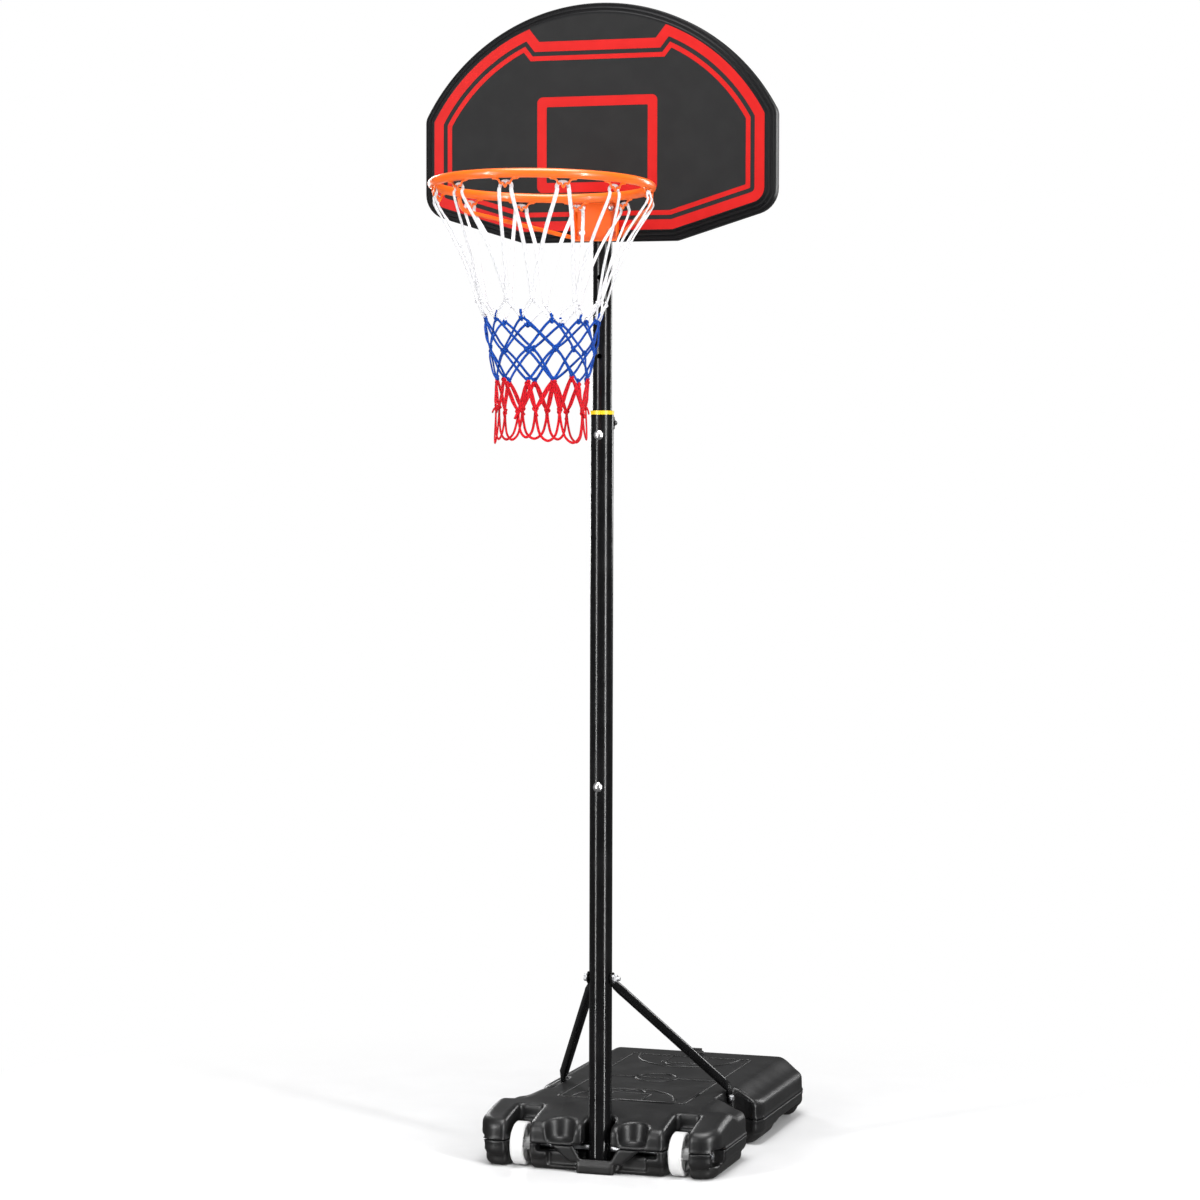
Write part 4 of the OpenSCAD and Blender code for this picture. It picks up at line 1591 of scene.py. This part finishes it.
@dataclass
class Ring:
    """Orange ring with its hooks, braces, welds and folded bracket."""

    radius: float = 201.0
    rod: float = 17.0
    reach: float = -360.0
    height: float = 1898.5
    tilt: float = math.radians(2.4)
    hooks: int = 12
    wire: float = 3.8
    brace: float = 8.0
    brace_bend: float = 15.0
    brace_line: tuple[tuple[float, float, float], ...] = (
        (188.9, -291.3, 1886.5),
        (184.9, -283.3, 1862.5),
        (49.3, -45.2, 1824.0),
    )

    def tilted(self, p: np.ndarray) -> np.ndarray:
        """Turns points about the ring's centre by the tilt and moves them to its place.

        Args:
            p: points about the ring's centre.

        Returns:
            The points in the frame.
        """
        c, s = math.cos(self.tilt), -math.sin(self.tilt)
        x, y, z = p[..., 0], p[..., 1], p[..., 2]
        return np.stack(
            [x, y * c - z * s + self.reach, y * s + z * c + self.height], -1
        )

    def around(self, angle: np.ndarray, local: np.ndarray) -> np.ndarray:
        """Puts local (along, out, up) points at angles round the ring.

        Angle 0 is towards the board and grows anticlockwise from above.

        Args:
            angle: angles round the ring.
            local: (along, out, up) for each.

        Returns:
            The points in the frame.
        """
        a = np.asarray(angle)
        radial = self.radius + local[..., 1]
        x = -np.sin(a) * radial + -np.cos(a) * local[..., 0]
        y = np.cos(a) * radial + -np.sin(a) * local[..., 0]
        return self.tilted(np.stack([x, y, local[..., 2] + 0 * x], -1))

    def rod_surface(self) -> Surface:
        """The ring: a circle of the rod's radius carried round a circle.

        Returns:
            The ring's rod.
        """
        a = np.linspace(0, 2 * math.pi, 288, endpoint=False)
        b = np.linspace(0, 2 * math.pi, 32, endpoint=False)
        r = self.rod / 2
        local = np.stack([0 * b, np.cos(b) * r, np.sin(b) * r], -1)
        points = self.around(
            a[:, None] * np.ones_like(b)[None], np.broadcast_to(local, (288, 32, 3))
        )
        return Surface(points, True, True)

    def hook_line(self) -> np.ndarray:
        """One hook's middle line: flared foot, leg, notch and V tip, then back up.

        Returns:
            (n, 3) points as (along, out, up).
        """
        half = np.array(
            [
                (-24, 0, -9.2), (-19, 0, -9.6), (-14.5, 0, -10.6), (-11.6, 0, -13.2),
                (-10.2, 0, -16.4), (-8.4, 0, -18.8), (-6.2, 0, -17.8), (-4.6, 0, -17.4),
                (-3.0, 0, -19.6), (-1.4, 0, -23.0), (0, 0, -24.4),
            ],
            float,
        )
        return np.concatenate([half, half[-2::-1] * np.array([-1, 1, 1])])

    def hook_surfaces(self) -> list[Surface]:
        """Hooks: a round wire swept along the hook line at each twelfth of the ring.

        Returns:
            One surface that holds every hook.
        """
        line = smooth_path(self.hook_line(), 72)
        a = np.arange(self.hooks) * 2 * math.pi / self.hooks
        paths = self.around(
            np.broadcast_to(a[:, None], (self.hooks, len(line))),
            np.broadcast_to(line, (self.hooks, *line.shape)),
        )
        out = np.stack([-np.sin(a), np.cos(a), 0 * a], -1)[:, None, :]
        points = sweep(paths, oval(self.wire, self.wire, 10), up=out)
        return [Surface(points, wrap_cols=True, capped=True)]

    def weld_surfaces(self) -> list[Surface]:
        """Welds: a lumpy bead, a stretched ball whose radius ripples along it.

        Returns:
            One surface that holds both beads of every hook.
        """
        t = np.linspace(0, math.pi, 15)
        b = np.linspace(0, 2 * math.pi, 12, endpoint=False)
        swell = np.sin(t)[:, None] * (1 + 0.12 * np.sin(9 * t))[:, None]
        local = np.stack(
            [
                -np.cos(t)[:, None] * 7.0 + 0 * b,
                np.cos(b)[None] * 3.0 * swell,
                np.sin(b)[None] * 1.9 * swell,
            ],
            -1,
        )
        a = np.arange(self.hooks) * 2 * math.pi / self.hooks
        spread = np.concatenate([a - 19.5 / self.radius, a + 19.5 / self.radius])
        n = len(spread)
        shifted = np.broadcast_to(local, (n, *local.shape)) + np.array([0, 0, -8.6])
        points = self.around(
            np.broadcast_to(spread[:, None, None], (n, 15, 12)), shifted
        )
        return [Surface(points, wrap_cols=True, capped=True, flip=True)]

    def brace_surface(self, side: int) -> Surface:
        """One brace: a rod from under the ring, over a bend, down to the bracket.

        Args:
            side: -1 for the left brace and 1 for the right.

        Returns:
            The rod.
        """
        line = np.array(self.brace_line) * np.array([side, 1, 1])
        path = corner_path(line, self.brace_bend, 14)
        path = np.concatenate(
            [path[:-1], np.linspace(path[-2], path[-1], 30)[1:]]
        )
        up = np.array([side * 0.9, -0.3, 0.2])
        points = sweep(path, oval(self.brace, self.brace, 14), up=up)
        return Surface(points, wrap_cols=True, capped=True)

    def build(self, looks: Finishes) -> None:
        """Makes the ring, hooks, welds and braces and softens the bracket.

        Args:
            looks: the hoop's finishes.
        """
        for name, surfaces, node in (
            ("ring_rod", [self.rod_surface()], "rim_ring"),
            ("ring_hooks", self.hook_surfaces(), "net_hooks"),
            ("ring_welds", self.weld_surfaces(), ""),
            ("brace_rod_left", [self.brace_surface(-1)], "brace_left"),
            ("brace_rod_right", [self.brace_surface(1)], "brace_right"),
        ):
            piece = write_mesh(name, surfaces)
            stands = (node,) if node else ()
            place_piece(piece, looks.orange_paint, Body.HEAD, stands)
        soften_node("rim_bracket", looks.orange_paint, Body.HEAD, 0.7)


# ---------- net ----------


@dataclass
class NetRow:
    """One row of knots: height, radius, and where its knots lie between the hooks."""

    height: float
    radius: float
    shift: float


@dataclass
class Net:
    """Knotted net of braided cord in a white, a blue and a red band."""

    hooks: int = 12
    reach: float = -360.0
    seed: int = 7
    flat: tuple[float, float] = (7.4, 3.2)
    cord: tuple[float, float] = (5.0, 3.3)
    tie: NetRow = field(default_factory=lambda: NetRow(1686, 121, 0.5))
    rows: tuple[NetRow, ...] = (
        NetRow(1655, 107, 0.0),
        NetRow(1599, 97, 0.0),
        NetRow(1544, 85, 0.0),
        NetRow(1489, 83, 0.5),
    )
    hem: float = 1429.0
    drop: float = 230.0

    def knots(self, row: NetRow, number: int) -> np.ndarray:
        """A row's knots as (angle, radius, height), each moved a little at random.

        Args:
            row: the row.
            number: the row's place in the net, which picks its random draw.

        Returns:
            (hooks, 3) knots.
        """
        rng = np.random.default_rng(self.seed + number)
        a = (np.arange(self.hooks) + row.shift) * 2 * math.pi / self.hooks
        a = a + rng.uniform(-0.07, 0.07, self.hooks)
        r = row.radius + rng.uniform(-3, 3, self.hooks)
        z = row.height + rng.uniform(-6, 6, self.hooks)
        return np.stack([a, r, z], -1)

    def spread(self, p: np.ndarray) -> np.ndarray:
        """(angle, radius, height) as points: angle 0 is towards the board.

        Args:
            p: (angle, radius, height) points.

        Returns:
            The points in the frame.
        """
        a, r, z = p[..., 0], p[..., 1], p[..., 2]
        return np.stack([-np.sin(a) * r, np.cos(a) * r + self.reach, z], -1)

    def outward(self, path: np.ndarray) -> np.ndarray:
        """Level direction away from the net's axis at each point.

        Args:
            path: points in the frame.

        Returns:
            One unit direction for each.
        """
        out = path - np.array([0.0, self.reach, 0.0])
        out[..., 2] = 0
        return unit(out)

    def cords(
        self, control: np.ndarray, size: tuple[float, float], count: int = 28
    ) -> Surface:
        """Cords through control points given as (angle, radius, height).

        Args:
            control: (copies, k, 3) control points.
            size: the cord's width along the net and thickness across it.
            count: rings along each cord.

        Returns:
            One surface holding every copy, with its UV along the cord in millimetres.
        """
        path = smooth_path(self.spread(control), count)
        points = sweep(path, oval(size[0], size[1], 8), up=self.outward(path))
        length = float(np.linalg.norm(np.diff(path, axis=-2), axis=-1).sum(-1).mean())
        return Surface(points, wrap_cols=True, capped=True, uv_size=(length, 1.0))

    def between(
        self, top: np.ndarray, low: np.ndarray, step: int, lift: float, bow: float = 0.0
    ) -> np.ndarray:
        """Control points from each knot to the one step places on in the next row.

        The middle point lies halfway, moved out by lift so that crossing cords pass over
        each other, and sideways by bow.

        Args:
            top: knots of the upper row.
            low: knots of the lower row.
            step: how many places on the lower end is.
            lift: how far the middle stands out.
            bow: how far the middle is moved sideways, in radians.

        Returns:
            (hooks, 5, 3) control points.
        """
        full = 2 * math.pi / self.hooks
        n = np.arange(self.hooks)
        end = low[(n + step) % self.hooks].copy()
        end[:, 0] += full * self.hooks * np.floor((n + step) / self.hooks)
        mid = (top + end) / 2 + np.array([bow, lift, 0.0])
        q1 = top + (end - top) * 0.25 + np.array([bow * 0.8, lift * 0.7 + 0.8, 1.5])
        q3 = top + (end - top) * 0.75 + np.array([bow * 0.8, lift * 0.7 + 0.8, -1.0])
        return np.stack([top, q1, mid, q3, end], 1)

    def ties(self, at: np.ndarray, size: float, thick: float, number: int) -> Surface:
        """Knots: a cord swept along a trefoil, turned a little differently each time.

        The trefoil is (sin t + 2 sin 2t, cos t - 2 cos 2t, -sin 3t).

        Args:
            at: where the knots are, as (angle, radius, height).
            size: the knots' width.
            thick: the cord's thickness in them.
            number: which random draw.

        Returns:
            One surface that holds every knot.
        """
        rng = np.random.default_rng(self.seed * 11 + number)
        t = np.linspace(0, 2 * math.pi, 56, endpoint=False)
        flat = np.stack(
            [np.sin(t) + 2 * np.sin(2 * t), -np.sin(3 * t) * 1.1, np.cos(t) - 2 * np.cos(2 * t)], -1
        ) * (size / 6)
        turn = rng.uniform(-0.5, 0.5, len(at))
        c, s = np.cos(turn)[:, None], np.sin(turn)[:, None]
        x = flat[None, :, 0] * c - flat[None, :, 2] * s
        z = flat[None, :, 0] * s + flat[None, :, 2] * c
        a = at[:, 0:1]
        centre = self.spread(at)[:, None, :]
        path = centre + np.stack(
            [
                -np.cos(a) * x - np.sin(a) * flat[None, :, 1],
                -np.sin(a) * x + np.cos(a) * flat[None, :, 1],
                z * 1.15,
            ],
            -1,
        )
        points = sweep(path, oval(thick, thick * 0.8, 8), up=self.outward(path) + 0.01, closed=True)
        return Surface(points, wrap_rows=True, wrap_cols=True, uv_size=(size * 6, 1.0))

    def tails(self, at: np.ndarray, size: tuple[float, float], way: float, number: int) -> Surface:
        """Cut ends that stick out of the knots, up or down as way is 1 or -1.

        Args:
            at: where the knots are.
            size: the cord's width and thickness.
            way: 1 for up and -1 for down.
            number: which random draw.

        Returns:
            One surface that holds every end.
        """
        rng = np.random.default_rng(self.seed * 5 + number)
        lean = rng.uniform(-0.09, 0.09, len(at))
        long = rng.uniform(9, 14, len(at))
        zero = 0 * lean
        first = at + np.stack([zero, zero + 1.5, zero], -1)
        half = at + np.stack([lean * 0.4, zero + 4.5, way * long * 0.5], -1)
        tip = at + np.stack([lean, zero + 6.0, way * long], -1)
        return self.cords(np.stack([first, half, tip], 1), size, 8)

    def top_cords(self, tie: np.ndarray, ring: Ring) -> Surface:
        """White cords: round each hook and down both sides to the first knots.

        On the half of the ring next to the board the loop lies outside its hook, and on
        the other half inside it.

        Args:
            tie: the first row of knots.
            ring: the ring with the hooks.

        Returns:
            One surface that holds every cord.
        """
        a = np.arange(self.hooks) * 2 * math.pi / self.hooks
        local = np.array(
            [
                (0, 3.3, -15.0), (4.2, 3.4, -15.4), (8.2, 3.8, -17.0),
                (10.6, 4.8, -22.5), (12.0, 3.5, -36),
            ],
            float,
        )
        full = 2 * math.pi / self.hooks
        behind = np.where(np.cos(a) > -0.1, 1.0, -1.0)
        made = []
        for side in (-1, 1):
            flip = np.stack([0 * a + side, behind, 0 * a + 1], -1)[:, None]
            hook = ring.around(
                np.broadcast_to(a[:, None], (self.hooks, len(local))), local[None] * flip
            )
            n = np.arange(self.hooks) + (0 if side > 0 else -1)
            end = tie[n % self.hooks].copy()
            end[:, 0] += full * self.hooks * np.floor(n / self.hooks)
            start = np.stack(
                [a + side * local[-1, 0] / ring.radius, 0 * a + ring.radius, hook[:, -1, 2]], -1
            )
            t = np.array([0.3, 0.6, 0.85])[None, :, None]
            run = start[:, None] * (1 - t) + end[:, None] * t
            run[..., 1] -= np.array([7.0, 9.0, 4.0])[None]
            low = np.concatenate([run, end[:, None]], 1)
            made.append(np.concatenate([hook, self.spread(low)], 1))
        control = np.concatenate(made)
        path = smooth_path(control, 56)
        points = sweep(path, oval(self.flat[0], self.flat[1], 8), up=self.outward(path))
        return Surface(points, wrap_cols=True, capped=True, uv_size=(self.drop, 1.0))

    def hem_loops(self, last: np.ndarray) -> Surface:
        """Bottom loops: a U between neighbouring knots of the last row.

        Args:
            last: the last row of knots.

        Returns:
            One surface that holds every loop.
        """
        full = 2 * math.pi / self.hooks
        rng = np.random.default_rng(self.seed * 3)
        n = np.arange(self.hooks)
        end = last[(n + 1) % self.hooks].copy()
        end[:, 0] += full * self.hooks * np.floor((n + 1) / self.hooks)
        deep = self.hem + rng.uniform(-2.5, 9, self.hooks)
        share = np.array([0.0, 0.06, 0.2, 0.5, 0.8, 0.94, 1.0])
        drop = np.array([0.0, 0.42, 0.82, 1.0, 0.82, 0.42, 0.0])
        a = last[:, None, 0] * (1 - share) + end[:, None, 0] * share
        r = last[:, None, 1] * (1 - share) + end[:, None, 1] * share + drop * 2.0
        top = last[:, None, 2] * (1 - share) + end[:, None, 2] * share
        z = top * (1 - drop) + deep[:, None] * drop
        return self.cords(np.stack([a, r, z], -1), self.cord, 40)

    def build(self, looks: Finishes, ring: Ring) -> None:
        """Makes the three bands and dresses each in its own colour.

        Args:
            looks: the hoop's finishes.
            ring: the ring that it hangs from.
        """
        tie = self.knots(self.tie, 0)
        rows = [self.knots(row, n + 1) for n, row in enumerate(self.rows)]
        white = [self.top_cords(tie, ring)]
        zig = [self.between(tie, rows[0], step, lift) for step, lift in ((0, 0.8), (1, -0.8))]
        white.append(self.cords(np.concatenate(zig), self.flat, 16))
        white.append(self.ties(tie, 9.5, 3.4, 0))
        white.append(self.ties(rows[0] + np.array([0, 1.0, 5.0]), 8.0, 3.0, 1))
        blue = []
        for top, low in zip(rows[:2], rows[1:3]):
            cross = [self.between(top, low, 1, 2.2), self.between(top, low, -1, -2.2)]
            blue.append(self.cords(np.concatenate(cross), self.cord))
        blue += [self.ties(rows[0] + np.array([0, 0.5, -2.0]), 9.0, 3.8, 2)]
        blue += [self.ties(rows[1], 9.0, 3.8, 3)]
        blue += [self.ties(rows[2] + np.array([0, 0.0, 3.0]), 7.5, 3.4, 4)]
        blue += [self.tails(rows[0], self.cord, 1.0, 5)]
        red = []
        pair = []
        for bow in (-0.026, 0.026):
            pair += [
                self.between(rows[2], rows[3], 0, 1.5, bow),
                self.between(rows[2], rows[3], -1, -1.5, bow),
            ]
        red.append(self.cords(np.concatenate(pair), self.cord))
        red += [self.ties(rows[2] + np.array([0, 1.0, -4.0]), 9.0, 3.8, 6)]
        red += [self.ties(rows[3], 9.5, 3.9, 7), self.hem_loops(rows[3])]
        red += [self.tails(rows[3], self.cord, -1.0, 8)]
        for name, surfaces, finish in (
            ("net_white_band", white, looks.white_cord),
            ("net_blue_band", blue, looks.blue_cord),
            ("net_red_band", red, looks.red_cord),
        ):
            piece = write_mesh(name, surfaces)
            place_piece(piece, finish, Body.HEAD, ("net",))


# ---------- pole, wheels and fixings ----------


@dataclass
class PackedParts:
    """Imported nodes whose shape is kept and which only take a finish."""

    painted: tuple[str, ...] = (
        "pole_lower", "pole_middle", "pole_upper", "clamp_boss", "strut_left",
        "strut_right", "pole_bracket", "pole_strap",
    )
    plated: tuple[str, ...] = ("joint_bolt", "height_bolt", "rim_bolts")
    zinc: tuple[str, ...] = (
        "wheel_axle", "axle_push_nuts", "joint_nut", "clamp_screw", "strut_bolt",
        "strut_washers", "strut_nut", "strut_foot_screws", "cross_bolts", "cross_nuts",
        "strap_screws", "rim_washers", "rim_nuts",
    )
    wheels: tuple[str, ...] = ("wheel_left", "wheel_right")
    trim: tuple[str, ...] = ("pole_foot_plug", "pole_top_cap", "clamp_knob")

    def build(self, looks: Finishes) -> None:
        """Dresses every kept node.

        Args:
            looks: the hoop's finishes.
        """
        for nodes, finish in (
            (self.painted, looks.black_paint),
            (self.plated, looks.chrome),
            (self.zinc, looks.zinc),
            (self.wheels, looks.white),
            (self.trim, looks.trim),
            (("guide_collar",), looks.yellow),
            (("slide_bush",), looks.bush),
            (("filler_gasket",), looks.rubber),
        ):
            for node in nodes:
                dress_node(node, finish)
        soften_node("filler_cap", looks.trim, Body.CAP, 1.2)


# ---------- studio ----------


@dataclass
class Studio:
    """Camera, soft lights and a pale floor."""

    azimuth: float = 0.3148
    distance: float = 6.4861
    height: float = 1.4272
    pitch: float = 0.047
    yaw: float = 0.0005
    roll: float = -0.0026
    focal: float = 99.9741
    sensor: float = 36.0

    def camera(self) -> None:
        """Camera with its axes worked out from azimuth, pitch, yaw and roll."""
        a, th = self.azimuth, self.azimuth + self.yaw
        back = -np.array(
            [
                -math.sin(th) * math.cos(self.pitch),
                math.cos(th) * math.cos(self.pitch),
                -math.sin(self.pitch),
            ]
        )
        right = np.array([math.cos(th), math.sin(th), 0.0])
        up = np.cross(back, right)
        c, s = math.cos(self.roll), math.sin(self.roll)
        right, up = right * c - up * s, up * c + right * s
        data = bpy.data.cameras.new("camera")
        data.lens, data.sensor_width = self.focal, self.sensor
        data.clip_end = 200
        cam = bpy.data.objects.new("camera", data)
        turn = np.eye(4)
        turn[:3, 0], turn[:3, 1], turn[:3, 2] = right, up, back
        turn[:3, 3] = (
            self.distance * math.sin(a), -self.distance * math.cos(a), self.height
        )
        cam.matrix_world = Matrix(turn.tolist())
        bpy.context.scene.collection.objects.link(cam)
        bpy.context.scene.camera = cam

    def light(
        self,
        name: str,
        place: tuple[float, float, float],
        aim: tuple[float, float, float],
        size: tuple[float, float],
        power: float,
    ) -> None:
        """A rectangular soft light at a place, turned to face a point.

        Args:
            name: the lamp's name.
            place: where it stands, in metres.
            aim: the point that it faces.
            size: width and height in metres.
            power: in watts.
        """
        data = bpy.data.lights.new(name, "AREA")
        data.shape = "RECTANGLE"
        data.size, data.size_y = size
        data.energy = power
        lamp = bpy.data.objects.new(name, data)
        z = unit(np.array(place, float) - np.array(aim, float))
        x = unit(np.cross([0.0, 0.0, 1.0], z))
        turn = np.eye(4)
        turn[:3, 0], turn[:3, 1], turn[:3, 2] = x, np.cross(z, x), z
        turn[:3, 3] = place
        lamp.matrix_world = Matrix(turn.tolist())
        bpy.context.scene.collection.objects.link(lamp)

    def floor(self) -> None:
        """A wide disc, rings of points out to its edge, that fades to even white.

        Mirror rays pass through it, so black paint keeps its depth beside a white floor
        and the strip lights' reflections run the whole way down the pole.
        """
        r = np.array([0.001, 0.5, 1.0, 2.0, 4.0, 8.0, 20.0, 60.0]) / MM
        a = np.linspace(0, 2 * math.pi, 96, endpoint=False)
        flat = np.stack(
            [np.outer(r, np.cos(a)), np.outer(r, np.sin(a)) + 200, 0 * np.outer(r, a) - 0.2], -1
        )
        made = write_mesh("floor", [Surface(flat, wrap_cols=True)], smooth=False)
        b = Bench("pale_floor")
        split = b.place()
        distance = b.add("ShaderNodeVectorMath", operation="LENGTH")
        b.feed(distance, 0, split)
        far = b.band(distance.outputs["Value"], 0.55, 1.7, 0, 1)
        b.finish(
            Base_Color=(0.92, 0.92, 0.925),
            Roughness=b.band(b.noise(split, 120, 3), 0.3, 0.7, 0.20, 0.24),
            Specular_IOR_Level=0.3,
        )
        glow = b.add("ShaderNodeEmission")
        b.feed(glow, "Color", (1, 1, 1, 1))
        b.feed(glow, "Strength", 1.0)
        mix = b.add("ShaderNodeMixShader")
        seen = b.add("ShaderNodeLightPath").outputs["Is Camera Ray"]
        b.feed(mix, 0, b.math("MULTIPLY", far, seen))
        b.tree.links.new(b.shader.outputs[0], mix.inputs[1])
        b.tree.links.new(glow.outputs[0], mix.inputs[2])
        clear = b.add("ShaderNodeBsdfTransparent")
        mirror = b.add("ShaderNodeMixShader")
        b.feed(mirror, 0, b.add("ShaderNodeLightPath").outputs["Is Glossy Ray"])
        b.tree.links.new(mix.outputs[0], mirror.inputs[1])
        b.tree.links.new(clear.outputs[0], mirror.inputs[2])
        out = next(n for n in b.tree.nodes if n.type == "OUTPUT_MATERIAL")
        b.tree.links.new(mirror.outputs[0], out.inputs[0])
        made.data.materials.append(b.material)

    def sky(self) -> None:
        """Plain white surroundings, dimmer for reflections and bounced light."""
        world = bpy.data.worlds.new("studio")
        bpy.context.scene.world = world
        world.use_nodes = True
        tree = world.node_tree
        tree.nodes.clear()
        path = tree.nodes.new("ShaderNodeLightPath")
        dim = tree.nodes.new("ShaderNodeBackground")
        white = tree.nodes.new("ShaderNodeBackground")
        dim.inputs[0].default_value = (1, 1, 1, 1)
        dim.inputs[1].default_value = 0.12
        white.inputs[0].default_value = (1, 1, 1, 1)
        white.inputs[1].default_value = 1.0
        mix = tree.nodes.new("ShaderNodeMixShader")
        out = tree.nodes.new("ShaderNodeOutputWorld")
        tree.links.new(path.outputs["Is Camera Ray"], mix.inputs[0])
        tree.links.new(dim.outputs[0], mix.inputs[1])
        tree.links.new(white.outputs[0], mix.inputs[2])
        tree.links.new(mix.outputs[0], out.inputs[0])

    def build(self) -> None:
        """Sets up the camera, the lights, the floor and the surroundings."""
        bpy.context.scene.view_settings.view_transform = "Standard"
        self.camera()
        self.floor()
        self.sky()
        for name, place, aim, size, power in (
            ("left_strip", (-3.15, -4.5, 0.8), (0, 0, 0.8), (0.30, 7.0), 360),
            ("right_strip", (4.7, -2.9, 0.8), (0, 0, 0.8), (0.34, 7.0), 470),
            ("top", (0.3, -0.9, 5.0), (0, 0, 0.6), (2.6, 2.6), 260),
            ("rim", (2.6, 4.6, 2.6), (0, 0, 1.0), (0.8, 3.2), 110),
            ("back", (-3.4, 4.0, 2.4), (0, 0, 1.0), (0.8, 3.0), 90),
        ):
            self.light(name, place, aim, size, power)


def main() -> None:
    """Builds every sub-assembly in order."""
    logging.basicConfig(level=logging.INFO, format="%(message)s")
    looks = Finishes()
    ring = Ring()
    Studio().build()
    Tank().build(looks)
    Board().build(looks)
    ring.build(looks)
    Net().build(looks, ring)
    PackedParts().build(looks)


if __name__ == "__main__":
    main()
